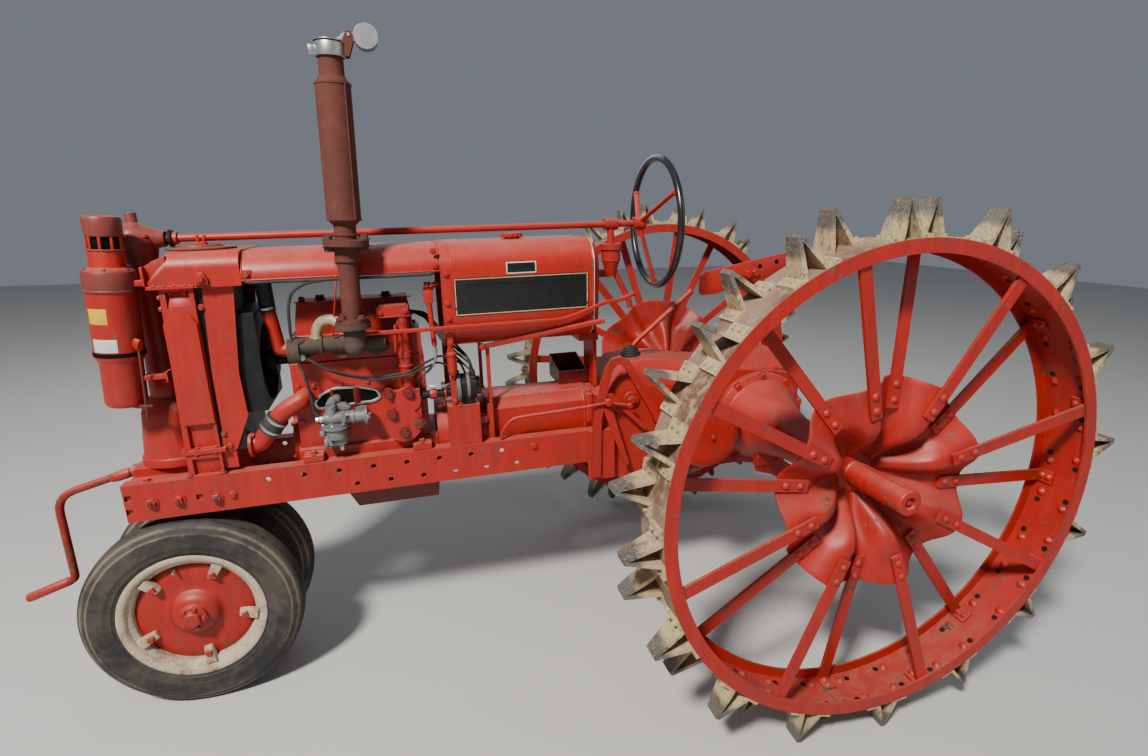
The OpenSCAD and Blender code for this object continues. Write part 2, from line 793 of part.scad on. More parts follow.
module axle_housing_left() {
  stance() axle_housing(1);
}

module axle_housing_right() {
  stance() axle_housing(-1);
}

// Brake drums on the differential shafts, ahead of the axle
module brake_drums() {
  place = [270, 10];
  near = case_half + gap;
  color(red) stance() for (side = [-1, 1]) mirror([0, side < 0 ? 1 : 0, 0])
    translate([place.x, 0, place.y]) spin_y() polygon([
      [0, near], [64, near], [64, near + 30], [88, near + 30], [88, near + 66],
      [drum_r, near + 66], [drum_r, near + 140], [drum_r - 10, near + 158],
      [drum_r - 40, near + 170], [0, near + 174]
    ]);
}

// Cross-section of hood and tank: a loaf with round shoulders
module loaf(half, top, low, shoulder, $fn = 48) {
  hull() {
    for (side = [-1, 1]) translate([side * (half - shoulder), top - shoulder]) circle(r = shoulder);
    for (side = [-1, 1]) translate([side * (half - 4), low + 4]) circle(r = 4);
    translate([0, top - 150]) circle(r = 150);
  }
}

module fuel_tank() {
  dome = 26;
  color(red) stance() {
    hull() {
      translate([tank_rear + dome, 0, 0]) rotate([90, 0, 90])
        linear_extrude(tank_front - gap - tank_rear - dome) tank_outline(0);
      translate([tank_rear, 0, 0]) rotate([90, 0, 90]) linear_extrude(2) tank_outline(22);
    }
    translate([tank_cap_x, 0, hood_top - 4]) cylinder(h = 14, r = 26);
    translate([tank_cap_x, 0, hood_top + 4]) cylinder(h = 14, r = 36);
  }
}

// Tank outline, drawn smaller by a margin for the pressed end
module tank_outline(margin, $fn = 48) {
  shoulder = 84;
  hull() {
    for (side = [-1, 1]) {
      translate([side * (hood_half - shoulder), hood_top - shoulder]) circle(r = shoulder - margin);
      translate([side * (hood_half - 100), tank_low + 90]) circle(r = 90 - margin);
    }
  }
}

// Hoop and legs at the front of the tank, with the fuel strainer and two short posts
module tank_support() {
  leg_half = 6;
  foot = bell_top + gap;
  top = tank_low - gap;
  hoop_t = 22;
  post_x = bell_rear - 20;
  color(red) stance() {
    translate([tank_front, 0, 0]) rotate([90, 0, 90]) linear_extrude(hoop_w - gap)
      difference() {
        tank_outline(0);
        tank_outline(hoop_t);
      }
    for (side = [-1, 1]) block(
      [tank_front + 6, side * leg_y - leg_half, foot],
      [tank_front + 24, side * leg_y + leg_half, tank_low + 68]
    );
    translate([tank_front + 15, leg_y + 16, tank_low - 64]) cylinder(h = 56, r = 15);
    for (side = [-1, 1])
      block([post_x, side * 110 - 6, tube_top - 7 + gap], [post_x + 12, side * 110 + 6, top]);
  }
}

// Upright from the transmission case behind the tank, with the ledge under the tank's rear end
module tank_upright() {
  top = tank_low - gap;
  foot = max(lookup(upright_x, case_line), tube_top) + gap;
  color(red) stance() {
    block([upright_x, -60, foot], [upright_x + 14, 60, support_top]);
    block([upright_x, -80, top - 24], [upright_x + 70, 80, top]);
  }
}

module hood() {
  color(red) stance() translate([hood_rear, 0, 0]) rotate([90, 0, 90])
    linear_extrude(hood_front - hood_rear) difference() {
      loaf(hood_half - 2, hood_top, hood_low, 70);
      loaf(hood_half - 2 - sheet, hood_top - sheet, hood_low - 10, 70);
    }
}

// Long shaft from the gear case to the hub of the steering wheel, with its collar
module steering_shaft() {
  color(red) stance() {
    xcyl(0, shaft_z, wheel_x + wheel_hub[1] + gap, nose_x + 38, shaft_r);
    xcyl(0, shaft_z, nose_x - 24, nose_x - gap, 18);
  }
}

// Steering wheel with three spokes that run forward to its hub
module steering_wheel() {
  rim_mid = wheel_r - wheel_rim_t / 2;
  color(black) stance() translate([wheel_x, 0, shaft_z]) {
    rotate([0, 90, 0]) rotate_extrude() translate([rim_mid, 0]) circle(r = wheel_rim_t / 2);
    xcyl(0, 0, wheel_hub[0], wheel_hub[1], 22);
    for (a = [0:120:240]) rotate([a, 0, 0]) rod([wheel_hub[0] + 20, 0, -12], [0, 0, -rim_mid], 8);
  }
}

// Cup behind the tank, on an arm from the upright, with the bearing of the steering shaft
module shaft_support() {
  cup_z = shaft_z - 126;
  color(red) stance() difference() {
    union() {
      translate([cup_x, 0, cup_z]) cylinder(h = 42, r = 34);
      translate([cup_x, 0, cup_z + 40]) cylinder(h = 20, r = 40);
      translate([cup_x, 0, cup_z - 50]) cylinder(h = 51, r1 = 16, r2 = 32);
      block([cup_x, -14, support_top - 34], [upright_x - gap, 14, support_top - 8]);
      translate([cup_x, 0, cup_z + 55]) cylinder(h = 66, r = 12);
      xcyl(0, shaft_z, cup_x - 24, cup_x + 24, 20);
    }
    xcyl(0, shaft_z, cup_x - 25, cup_x + 25, shaft_r + running);
  }
}

// Flat bar that carried the seat, on its post over the case cover
module seat_bar() {
  post_foot = cover_flat + gap;
  color(red) stance() difference() {
    union() {
      side_plate([
        [175, 458], [184, 470], [180, 512], [160, 518], [-250, 600], [-250, 532], [-20, 500],
        [120, 458]
      ], 16, 28);
      side_plate([
        [-80, post_foot], [20, post_foot], [20, post_foot + 12], [-6, post_foot + 20],
        [30, 500], [30, 520], [-50, 536], [-60, post_foot + 20], [-80, post_foot + 12]
      ], 4, 16);
    }
    for (x = [-200, -130, -60]) ycyl(x, 560 + (-x - 130) * 0.2, 0, 40, 7);
  }
}

// Hoop drawbar under the axle housings, with its pin holes
module drawbar() {
  bar_rear = -390;
  bar_w = 60;
  bar_t = 20;
  top = -drawbar_drop + bar_t;
  hang_top = -hanger_z - gap;
  color(red) stance() {
    difference() {
      block([bar_rear, -hanger_y - 10, -drawbar_drop], [bar_rear + bar_w, hanger_y + 10, top]);
      for (y = [-200:50:200]) translate([bar_rear + bar_w / 2, y, -drawbar_drop - 1])
        cylinder(h = bar_t + 2, r = drawbar_hole_r);
    }
    for (side = [-1, 1]) side_plate([
      [bar_rear + bar_w, top + gap], [bar_rear, top + gap], [bar_rear, top + 24],
      [-50, hang_top], [50, hang_top], [50, hang_top - 20], [-10, hang_top - 40]
    ], side * hanger_y - 10, side * hanger_y + 10);
  }
}

// Hooped bar beside the case, from the rail's strap to its boss behind, with two flat stays
module hooped_bar() {
  near = strap_y + gap;
  color(red) stance() {
    side_plate([
      [656, -140], [650, 70], [622, 191], [603, 256], [582, 281], [549, 288], [522, 276], [507, 254],
      [452, 147], [396, 52], [414, 38], [470, 132], [530, 240], [546, 260], [562, 260], [578, 242],
      [594, 186], [620, 70], [626, -140]
    ], near, near + 12);
    side_plate([[614, 108], [582, 108], [519, -100], [524, -112], [536, -110]], near + 1, near + 9);
    side_plate([
      [606, 160], [578, 160], [522, 96], [452, 26], [462, 14], [536, 88]
    ], near + 2, near + 8);
    ycyl(405, 48, case_half + gap, near + 12, 18);
  }
}

// Gear lever that leans back from its boot on the case
module gear_lever() {
  pivot = [446, case_top + 17];
  knob = [pivot.x - 234, pivot.y + 198];
  color(red) stance() {
    translate([pivot.x, 0, case_top + gap]) cylinder(h = 30, r1 = 34, r2 = 18);
    rod([pivot.x, 0, pivot.y], [knob.x, 0, knob.y], 9);
  }
}

// Open tray for tools on the torque tube, higher at the back than in front
module tool_tray() {
  low = tube_top + gap;
  wall = 4;
  rear = upright_x + 18;
  front = rear + 108;
  far = -150;
  color(dark_red) stance() difference() {
    long_bar([[far, low], [far, low + 84], [0, low + 48], [-6, low]], rear, front);
    long_bar([
      [far + wall, low + wall], [far + wall, low + 120], [-wall, low + 120], [-6 - wall, low + wall]
    ], rear + wall, front - wall);
  }
}

// Spindle, knuckle and cross axle of the front wheels
module steered_axle() {
  hub_in = front_track / 2 - 44 - gap;
  stub_end = front_track / 2 + 30;
  top = axle_drop + rail_low + 20;
  color(red) stance() translate([wheelbase, 0, -axle_drop]) {
    rotate_extrude() polygon([
      [0, -46], [42, -46], [47, -34], [47, 40], [36, 230], [spindle_r, 240], [spindle_r, top],
      [0, top]
    ]);
    ycyl(0, 0, -hub_in, hub_in, 39);
    ycyl(0, 0, hub_in - fuse, stub_end, stub_r);
    ycyl(0, 0, -stub_end, fuse - hub_in, stub_r);
  }
}

// Rim and disc of a front wheel; its outer side is towards positive Y
module front_rim() {
  outline_rim = [
    [seat_r - 6, -46], [seat_r + 17, -49], [seat_r + 19, -46], [seat_r + 9, -42], [seat_r, -38],
    [seat_r, 38], [seat_r + 9, 42], [seat_r + 19, 46], [seat_r + 17, 49], [seat_r - 6, 46],
    [seat_r - 14, 30], [seat_r - 20, 20], [seat_r - 20, -20], [seat_r - 14, -30]
  ];
  outline_disc = [
    [stub_r + running, -44], [46, -44], [60, -10], [120, 10], [seat_r - 19, 6], [seat_r - 19, 16],
    [120, 22], [66, 20], [50, 34], [50, 52], [38, 54], [38, 78], [0, 78], [0, 40],
    [stub_r + running, 40]
  ];
  spin_y() {
    polygon(outline_rim);
    polygon(outline_disc);
  }
  for (k = [0:clamps - 1]) rotate([0, 54 + k * 360 / clamps, 0])
    block([-14, 14, 134], [14, 32, seat_r - 18]);
}

module front_rim_left() {
  color(red) front_place(1) front_rim();
}

module front_rim_right() {
  color(red) front_place(-1) front_rim();
}

module front_tyre() {
  round_r = tyre_w / 2;
  spin_y() difference() {
    union() {
      translate([tyre_r - round_r, 0]) circle(r = round_r);
      translate([seat_r + gap, -36]) square([tyre_r - round_r - seat_r, 72]);
    }
    translate([seat_r - 30, -60]) square([30 + gap, 120]);
  }
}

module front_tyre_left() {
  color(black) front_place(1) front_tyre();
}

module front_tyre_right() {
  color(black) front_place(-1) front_tyre();
}

// Turns a form that stands on +Z to an angle in the plane of the wheel
module at_angle(angle) {
  rotate([0, 90 - angle, 0]) children();
}

// Spade lug: one plate folded over its tip, with a foot on each side
module lug() {
  low = rim_r - 5;
  foot = low + lug_sheet + 3;
  tip = tip_r;
  inner = tip - lug_sheet * 1.6;
  outline = [
    [-lug_spread - lug_foot, low], [-lug_spread - lug_foot, foot],
    [-lug_spread, foot], [-tip_half, tip], [tip_half, tip], [lug_spread, foot],
    [lug_spread + lug_foot, foot], [lug_spread + lug_foot, low],
    [lug_spread - lug_sheet, low], [0, inner], [-lug_spread + lug_sheet, low]
  ];
  spread = lug_spread + lug_foot + 1;
  intersection() {
    side_plate(outline, -lug_w / 2, lug_w / 2);
    long_bar([
      [-lug_w / 2, low], [-lug_w / 2, foot + 8], [-lug_tip_w / 2, tip],
      [lug_tip_w / 2, tip], [lug_w / 2, foot + 8], [lug_w / 2, low]
    ], -spread, spread);
  }
}

// Height of a spoke's seat on the hub disc, at a radius
function spoke_line(r) = 22 + (r - 225) * 0.0874;

// Flat spoke on the outer face of the hub disc, out to the rim; side gives its row
module spoke(side) {
  r0 = 225;
  r1 = rim_r - rim_wall + 1;
  slope = atan(0.0874);
  translate([0, side * spoke_line(r0) + gap, r0]) rotate([-side * slope, 0, 0])
    block([-spoke_w / 2, 0, 0], [spoke_w / 2, spoke_t, (r1 - r0) / cos(slope)]);
}

// Rim with its two rows of lugs and its spokes; the outer side is towards positive Y
module rear_rim() {
  half = rim_w / 2;
  row_y = half - lug_w / 2 - 2;
  outline = [
    [rim_r, -half], [rim_r, half], [rim_r - rim_flange, half],
    [rim_r - rim_flange, half - rim_wall], [rim_r - rim_wall, half - rim_wall],
    [rim_r - rim_wall, -half + rim_wall], [rim_r - rim_flange, -half + rim_wall],
    [rim_r - rim_flange, -half]
  ];
  rotate([0, rest_turn, 0]) spin_y() polygon(outline);
  for (k = [0:lugs_per_row - 1]) {
    at_angle(-90 - rest_turn + k * lug_step) translate([0, row_y, 0]) lug();
    at_angle(-90 + rest_turn + k * lug_step) translate([0, -row_y, 0]) lug();
  }
  for (k = [0:near_spokes - 1]) {
    at_angle(-90 + rest_turn + lug_step + k * spoke_pitch) spoke(1);
    at_angle(-90 + rest_turn + k * spoke_pitch) spoke(-1);
  }
}

module rear_rim_left() {
  color(red) rear_place(1) rear_rim();
}

module rear_rim_right() {
  color(red) rear_place(-1) rear_rim();
}

// Rings of the pressed disc: radius, near ridge and far valley, from the boss outwards
disc_rings = [
  [58, -dish + 8, -dish],
  [120, -dish + 52, -dish + 18],
  [225, spoke_line(225), -spoke_line(225)],
  [disc_r, spoke_line(disc_r), -spoke_line(disc_r)]
];

// Points of one face of the disc: two for each spoke, so that the spoke has a flat seat
function disc_points(back) = [
  for (ring = disc_rings) for (k = [0:2 * near_spokes - 1]) for (e = [-1, 1])
    let (r = ring[0], seat = min(spoke_w + 8, 0.75 * 2 * PI * r / (2 * near_spokes)) / 2,
      angle = -90 + rest_turn + k * lug_step,
      s = (k % 2 == 1 ? ring[1] : ring[2]) - back)
      [r * cos(angle) - e * seat * sin(angle), s, r * sin(angle) + e * seat * cos(angle)]
];

// Pressed disc whose ridges and valleys seat the spokes
module hub_disc() {
  n = 4 * near_spokes;
  rings = len(disc_rings);
  back = n * rings;
  faces = [
    for (i = [0:rings - 2]) for (j = [0:n - 1])
      let (a = i * n + j, b = i * n + (j + 1) % n, c = a + n, d = b + n)
        each [[a, d, b], [a, c, d], [back + a, back + b, back + d], [back + a, back + d, back + c]],
    for (j = [0:n - 1])
      let (a = j, b = (j + 1) % n, c = (rings - 1) * n + a, d = (rings - 1) * n + b)
        each [[a, b, back + b], [a, back + b, back + a], [c, back + d, d], [c, back + c, back + d]]
  ];
  polyhedron(concat(disc_points(0), disc_points(disc_t)), faces);
}

// Hub disc with its boss and the axle shaft
module rear_hub() {
  inner = housing_end - track / 2;
  hub_disc();
  ycyl(0, 0, -dish - 22, -dish + 26, 66);
  ycyl(0, 0, inner + gap, -dish - 20, 50);
  ycyl(0, 0, inner - 39, axle_out, axle_r);
}

module rear_hub_left() {
  color(red) rear_place(1) rear_hub();
}

module rear_hub_right() {
  color(red) rear_place(-1) rear_hub();
}

frame_rail_left();
frame_rail_right();
front_bolster();
steering_pedestal();
steering_gear_case();
radiator_core();
radiator_frame();
radiator_cap();
cooling_fan();
engine_block();
cylinder_head();
oil_pan();
exhaust_manifold();
exhaust_stack();
rain_cap();
governor();
carburettor();
magneto();
water_pipes();
air_cleaner();
starting_crank();
clutch_housing();
torque_tube();
transmission_case();
axle_housing_left();
axle_housing_right();
brake_drums();
fuel_tank();
tank_support();
tank_upright();
hood();
steering_shaft();
steering_wheel();
shaft_support();
seat_bar();
drawbar();
hooped_bar();
gear_lever();
tool_tray();
steered_axle();
front_rim_left();
front_tyre_left();
front_rim_right();
front_tyre_right();
rear_rim_left();
rear_hub_left();
rear_rim_right();
rear_hub_right();
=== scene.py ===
import json
import math

import bmesh
import bpy
from mathutils import Matrix, Vector


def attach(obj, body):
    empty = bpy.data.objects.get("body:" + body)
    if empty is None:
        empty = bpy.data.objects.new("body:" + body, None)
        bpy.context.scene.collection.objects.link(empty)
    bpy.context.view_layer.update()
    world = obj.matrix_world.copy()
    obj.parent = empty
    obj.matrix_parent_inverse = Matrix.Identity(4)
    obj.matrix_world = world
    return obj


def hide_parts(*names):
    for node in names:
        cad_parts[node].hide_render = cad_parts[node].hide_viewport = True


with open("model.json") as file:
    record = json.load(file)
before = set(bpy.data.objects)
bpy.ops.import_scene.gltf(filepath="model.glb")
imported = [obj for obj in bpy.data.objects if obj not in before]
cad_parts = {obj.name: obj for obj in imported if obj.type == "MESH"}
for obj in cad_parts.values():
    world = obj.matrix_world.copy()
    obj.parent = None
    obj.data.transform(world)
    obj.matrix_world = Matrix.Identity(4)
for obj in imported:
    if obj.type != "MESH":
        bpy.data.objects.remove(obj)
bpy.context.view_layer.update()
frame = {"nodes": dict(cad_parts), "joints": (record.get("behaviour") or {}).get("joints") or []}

# The machine's own frame: millimetres from the middle of the rear axle, rails level
joints = {joint["name"]: joint for joint in frame["joints"]}
rearAxle = joints["rear_wheel_left_roll"]["pos_m"]
frontAxle = joints["front_wheel_left_roll"]["pos_m"]
upright = joints["steering_turn"]["axis"]
lean = math.atan2(upright[0], upright[2])
millimetres = Matrix.Scale(0.001, 4)
stance = Matrix.Translation((rearAxle[0], 0, rearAxle[2])) @ Matrix.Rotation(lean, 4, "Y") @ millimetres
left, right, up, down, ahead, behind = (0, 1, 0), (0, -1, 0), (0, 0, 1), (0, 0, -1), (1, 0, 0), (-1, 0, 0)
centre = (0, 0, 0)


def wheelFrame(axle, track, side, turned):
    # a wheel's own frame, with its outer side towards +Y
    flip = Matrix.Scale(-1, 4, left) if side < 0 else Matrix.Identity(4)
    place = Matrix.Translation((axle[0], side * track / 1000, axle[2]))
    return place @ Matrix.Rotation(turned, 4, "Y") @ flip @ millimetres


def circle(radius, turns, middle=(0, 0)):
    # points round a middle, at turns in degrees
    return [(middle[0] + radius * math.cos(math.radians(t)), middle[1] + radius * math.sin(math.radians(t)))
            for t in turns]


def evenly(count, start=0.0):
    return [start + 360 * i / count for i in range(count)]


# Node building: a socket with Python's operators, and one method for every other node
class Wave:
    def __init__(self, graph, socket):
        self.graph, self.socket = graph, socket

    def math(self, operation, first, second):
        return self.graph.wave("ShaderNodeMath", {0: first, 1: second}, operation=operation)

    def __add__(self, other): return self.math("ADD", self, other)
    def __sub__(self, other): return self.math("SUBTRACT", self, other)
    def __mul__(self, other): return self.math("MULTIPLY", self, other)
    def __pow__(self, other): return self.math("POWER", self, other)
    def __radd__(self, other): return self.math("ADD", other, self)


class Graph:
    def __init__(self, tree):
        self.tree = tree

    def node(self, kind, values={}, **settings):
        made = self.tree.nodes.new(kind)
        for key, value in settings.items():
            setattr(made, key, value)
        for key, value in values.items():
            source = value.socket if isinstance(value, Wave) else value
            if isinstance(source, bpy.types.NodeSocket):
                self.tree.links.new(source, made.inputs[key])
            else:
                made.inputs[key].default_value = source
        return made

    def wave(self, kind, values={}, output=0, **settings):
        return Wave(self, self.node(kind, values, **settings).outputs[output])

    def sockets(self, inputs, result):
        # a geometry tree's named inputs and its one output
        for label, kind in inputs.items():
            self.tree.interface.new_socket(label, in_out="INPUT", socket_type="NodeSocket" + kind)
        self.tree.interface.new_socket(result, in_out="OUTPUT", socket_type="NodeSocketGeometry")
        given = self.node("NodeGroupInput").outputs
        return {label: Wave(self, given[label]) for label in inputs}

    def painted(self, placed, finish):
        # the end of a geometry tree
        real = self.wave("GeometryNodeRealizeInstances", {0: placed})
        self.node("NodeGroupOutput", {0: self.wave("GeometryNodeSetMaterial", {"Geometry": real, "Material": finish})})
        return self.tree


class Shop(Graph):
    def __init__(self, name):
        self.material = bpy.data.materials.new(name)
        self.material.use_nodes = True
        super().__init__(self.material.node_tree)
        self.tree.nodes.clear()
        self.place = self.wave("ShaderNodeTexCoord", output="Object")
        self.upwards = self.wave("ShaderNodeSeparateXYZ", {0: self.wave("ShaderNodeNewGeometry", output="Normal")}, "Z")

    def noise(self, scale, detail=4.0, rough=0.55, offset=0.0, stretch=(1, 1, 1)):
        moved = self.wave("ShaderNodeMapping", {"Vector": self.place, "Scale": stretch,
                                                "Location": (offset, offset, 0)})
        return self.wave("ShaderNodeTexNoise", {"Vector": moved, "Scale": scale, "Detail": detail, "Roughness": rough})

    def fromAxle(self, axle):
        # distance from a wheel's axle
        split = self.node("ShaderNodeSeparateXYZ", {0: self.place})
        across, lift = Wave(self, split.outputs["X"]) - axle[0], Wave(self, split.outputs["Z"]) - axle[2]
        return (across * across + lift * lift) ** 0.5

    def step(self, wave, low, high, start=0.0, end=1.0):
        return self.wave("ShaderNodeMapRange", {"Value": wave, "From Min": low, "From Max": high, "To Min": start,
                                                "To Max": end},
                         "Result", interpolation_type="SMOOTHSTEP", clamp=True)

    def mix(self, first, second, share):
        sides = {i: c if isinstance(c, Wave) else (*c, 1) for i, c in ((6, first), (7, second))}
        return self.wave("ShaderNodeMix", {"Factor": share, **sides}, 2, data_type="RGBA")

    def layer(self, body, colour, wave, low, high, share=None):
        # one more colour, where a pattern rises from low to high
        mask = self.step(wave, low, high)
        return self.mix(body, colour, mask * share if share else mask)

    def finish(self, colour, roughness, metallic=0.0, height=None, bump=0.3, distance=0.001, coat=0.0, gleam=0.35):
        values = {"Base Color": colour if isinstance(colour, Wave) else (*colour, 1), "Roughness": roughness,
                  "Metallic": metallic, "Specular IOR Level": gleam}
        if height is not None:
            values["Normal"] = self.wave("ShaderNodeBump", {"Strength": bump, "Distance": distance, "Height": height})
        if coat:
            values.update({"Coat Weight": coat, "Coat Roughness": 0.25})
        self.node("ShaderNodeOutputMaterial", {"Surface": self.wave("ShaderNodeBsdfPrincipled", values)})
        return self.material


paint = {"fresh": (0.36, 0.013, 0.008), "shade": (0.19, 0.008, 0.0055), "chalk": (0.42, 0.09, 0.07),
         "primer": (0.13, 0.022, 0.014), "rust": (0.085, 0.036, 0.022), "steel": (0.15, 0.14, 0.13),
         "dust": (0.30, 0.20, 0.13)}


def paintMaterial(name, fade=0.55, wear=0.25, grime=0.2, dust=0.15, cast=0.35, dark=0.0, gloss=0.42,
                  fresh=paint["fresh"], shade=paint["shade"]):
    shop = Shop(name)
    broad = shop.noise(3.1, 5, 0.6)
    patchy = shop.noise(14, 6, 0.65, 3.7)
    fine = shop.noise(85, 5, 0.6, 1.3)
    mottle = shop.noise(24, 5, 0.7, 8.1, (1, 1, 0.5))
    runs = shop.noise(5, 4, 0.6, 2.2, (9, 9, 0.7))
    body = shop.mix(fresh, shade, shop.step(broad * 0.55 + runs * 0.45, 0.36, 0.72) * 0.75 + dark)
    body = shop.layer(body, paint["primer"], mottle, 0.46, 0.72, 0.5)
    top = shop.step(shop.upwards, 0.25, 0.98)
    chalky = top * shop.step(broad * 0.5 + patchy * 0.5, 0.3, 0.62, 0.45, 1.0) * fade
    chalky = chalky + shop.step(runs, 0.55, 0.8) * fade * 0.22
    chalky = chalky + shop.step(broad * 0.45 + mottle * 0.55, 0.5, 0.68) * fade * 0.3
    body = shop.mix(body, paint["chalk"], chalky)
    dirty = shop.step(patchy * 0.6 + runs * 0.4, 0.5, 0.78) * grime
    body = shop.mix(body, paint["primer"], dirty)
    body = shop.mix(body, paint["dust"], shop.step(shop.upwards, 0.5, 1.0) * shop.step(patchy, 0.42, 0.7) * dust)
    chip = shop.step(patchy * 0.62 + fine * 0.38, 0.66 - wear * 0.22, 0.70 - wear * 0.22)
    body = shop.mix(body, shop.layer(paint["rust"], paint["steel"], fine, 0.5, 0.68, 0.4), chip)
    rough = gloss + chalky * 0.25 + chip * 0.3 + dirty * 0.2 + (fine - 0.5) * 0.12
    grain = shop.noise(420, 3, 0.6)
    height = grain * cast + fine * cast * 1.4 - chip * 0.35 + patchy * 0.3
    return shop.finish(body, rough, 0.0, height, 0.35, 0.0012)


def rustMaterial(name, base, flake):
    shop = Shop(name)
    patchy, fine, mid = shop.noise(9, 6, 0.65), shop.noise(130, 5, 0.65, 2.1), shop.noise(38, 5, 0.6, 5.4)
    body = shop.layer(base, flake, patchy * 0.55 + mid * 0.45, 0.42, 0.66, 0.6)
    body = shop.layer(body, tuple(c * 0.45 for c in base), fine, 0.52, 0.72, 0.7)
    return shop.finish(body, 0.85 + (mid - 0.5) * 0.2, 0.0, fine + mid * 0.6, 0.5, 0.0016)


def lugMaterial(name):
    # weathered bare steel: tan dust over grey metal, rust in patches and darker scuffs
    shop = Shop(name)
    broad, mid, fine = shop.noise(7, 6, 0.6), shop.noise(26, 6, 0.68, 4.0), shop.noise(150, 5, 0.65, 7.0)
    outer = shop.step(shop.fromAxle(rearAxle) + (mid - 0.5) * 0.05, 0.722, 0.756)
    body = shop.mix((0.44, 0.335, 0.19), (0.10, 0.098, 0.095), outer * 0.88 + shop.step(broad, 0.5, 0.66) * 0.25)
    body = shop.layer(body, (0.15, 0.055, 0.033), mid, 0.52, 0.66, 0.6)
    body = shop.layer(body, (0.52, 0.43, 0.30), broad * 0.4 + fine * 0.6, 0.54, 0.62, 0.55)
    grain = shop.noise(70, 6, 0.75, 9.0, (1, 2.6, 1))
    body = shop.layer(body, (0.035, 0.032, 0.03), grain, 0.53, 0.66, 0.85)
    return shop.finish(body, 0.62 + (mid - 0.5) * 0.5, outer * 0.35, fine + grain * 1.5, 0.7, 0.0025)


def treadMaterial(name):
    # the rim's outer face: red paint worn through to rust and tan dust
    shop = Shop(name)
    broad, mid, fine = shop.noise(6, 6, 0.62, 1.0), shop.noise(30, 6, 0.66, 6.0), shop.noise(140, 5, 0.65)
    body = shop.layer((0.24, 0.155, 0.11), (0.135, 0.062, 0.042), broad, 0.42, 0.62)
    body = shop.layer(body, paint["shade"], broad * 0.4 + mid * 0.6, 0.54, 0.64, 0.55)
    body = shop.layer(body, (0.40, 0.31, 0.20), mid * 0.7 + broad * 0.3, 0.50, 0.62, 0.65)
    streak = shop.noise(40, 6, 0.72, 2.5, (1, 3.2, 1))
    body = shop.layer(body, (0.06, 0.04, 0.032), streak * 0.7 + fine * 0.3, 0.52, 0.66, 0.75)
    return shop.finish(body, 0.78 + (mid - 0.5) * 0.3, 0.05, fine + mid * 1.4, 0.6, 0.002)


def tyreMaterial(name):
    # black rubber with a film of tan dust, thickest on the shoulder's ridges
    shop = Shop(name)
    broad, mid, fine = shop.noise(5, 5, 0.6), shop.noise(34, 6, 0.65, 2.0), shop.noise(210, 4, 0.6)
    radius = shop.fromAxle(frontAxle) + (mid - 0.5) * 0.006
    first, second = (shop.step(radius, a, b) * shop.step(radius, c, d, 1.0, 0.0)
                     for a, b, c, d in ((0.279, 0.283, 0.284, 0.288), (0.296, 0.301, 0.303, 0.308)))
    ridge = first + second
    dusty = shop.step(broad * 0.6 + mid * 0.4, 0.40, 0.64)
    body = shop.mix((0.017, 0.017, 0.018), (0.075, 0.062, 0.048), dusty * 0.8)
    dusted = ridge * shop.step(broad, 0.36, 0.56) * 0.55 + shop.step(mid, 0.62, 0.76) * 0.16
    body = shop.mix(body, (0.22, 0.18, 0.12), dusted)
    return shop.finish(body, 0.66 + dusty * 0.2, 0.0, fine + mid * 0.6, 0.3, 0.001)


def plainMaterial(name, base, worn, rough=0.5, metal=0.0, amount=0.35, grain=0.3, scale=22, coat=0.0, gleam=0.35):
    shop = Shop(name)
    patchy, fine = shop.noise(scale, 6, 0.62), shop.noise(scale * 9, 4, 0.6, 3.0)
    body = shop.layer(base, worn, patchy * 0.65 + fine * 0.35, 0.44, 0.68, amount)
    return shop.finish(body, rough + (patchy - 0.5) * 0.3, metal, fine + patchy * 0.5, grain, 0.0008, coat, gleam)


print("making the finishes")
redPaint = paintMaterial("redPaint", grime=0.35)
redWorn = paintMaterial("redWorn", fade=0.8, wear=0.45, grime=0.4, dust=0.3)
redSheet = paintMaterial("redSheet", fade=0.75, wear=0.1, grime=0.12, dust=0.1, cast=0.06, gloss=0.34)
# dark red for parts under the hood and the engine: real grime, plus painted shade for the shadow these parts sit in
redDark = paintMaterial("redDark", fade=0.15, wear=0.5, grime=0.9, dust=0.1, dark=0.3, fresh=(0.17, 0.011, 0.008),
                        shade=(0.075, 0.010, 0.008))
redRim = paintMaterial("redRim", fade=0.35, wear=0.35, grime=0.3, dust=0.2, cast=0.15)
exhaustRust = rustMaterial("exhaustRust", (0.085, 0.021, 0.014), (0.12, 0.042, 0.028))
crankRed = paintMaterial("crankRed", fade=0.5, wear=0.6, grime=0.9, dust=0.3, dark=0.5)
canRed = paintMaterial("canRed", fade=0.25, wear=0.4, grime=0.8, dust=0.4, dark=0.2, fresh=(0.19, 0.035, 0.028),
                       shade=(0.115, 0.024, 0.019))
manifoldIron = rustMaterial("manifoldIron", (0.048, 0.034, 0.028), (0.095, 0.052, 0.036))
lugSteel = lugMaterial("lugSteel")
rimTread = treadMaterial("rimTread")
# black paint, also used for flat discs that are painted shade in the rim's holes
blackPaint = plainMaterial("blackPaint", (0.007, 0.007, 0.008), (0.03, 0.026, 0.022), gleam=0.25)
blackGloss = plainMaterial("blackGloss", (0.010, 0.010, 0.011), (0.045, 0.04, 0.036), 0.25, coat=0.4)
# near-black: the radiator core's own black, also used as painted shade in holes, gaps and openings
coreBlack = plainMaterial("coreBlack", (0.004, 0.004, 0.004), (0.012, 0.010, 0.009), 0.85, gleam=0.06)
greyIron = plainMaterial("greyIron", (0.17, 0.172, 0.17), (0.065, 0.055, 0.047), 0.5, 0.25, 0.85, 0.5, 30)
magnetoGrey = plainMaterial("magnetoGrey", (0.13, 0.125, 0.11), (0.055, 0.045, 0.035), 0.55, 0.1, 0.8, 0.5, 30)
elbowBrass = plainMaterial("elbowBrass", (0.36, 0.29, 0.17), (0.17, 0.085, 0.045), 0.42, 0.3, 0.9, 0.4, 24)
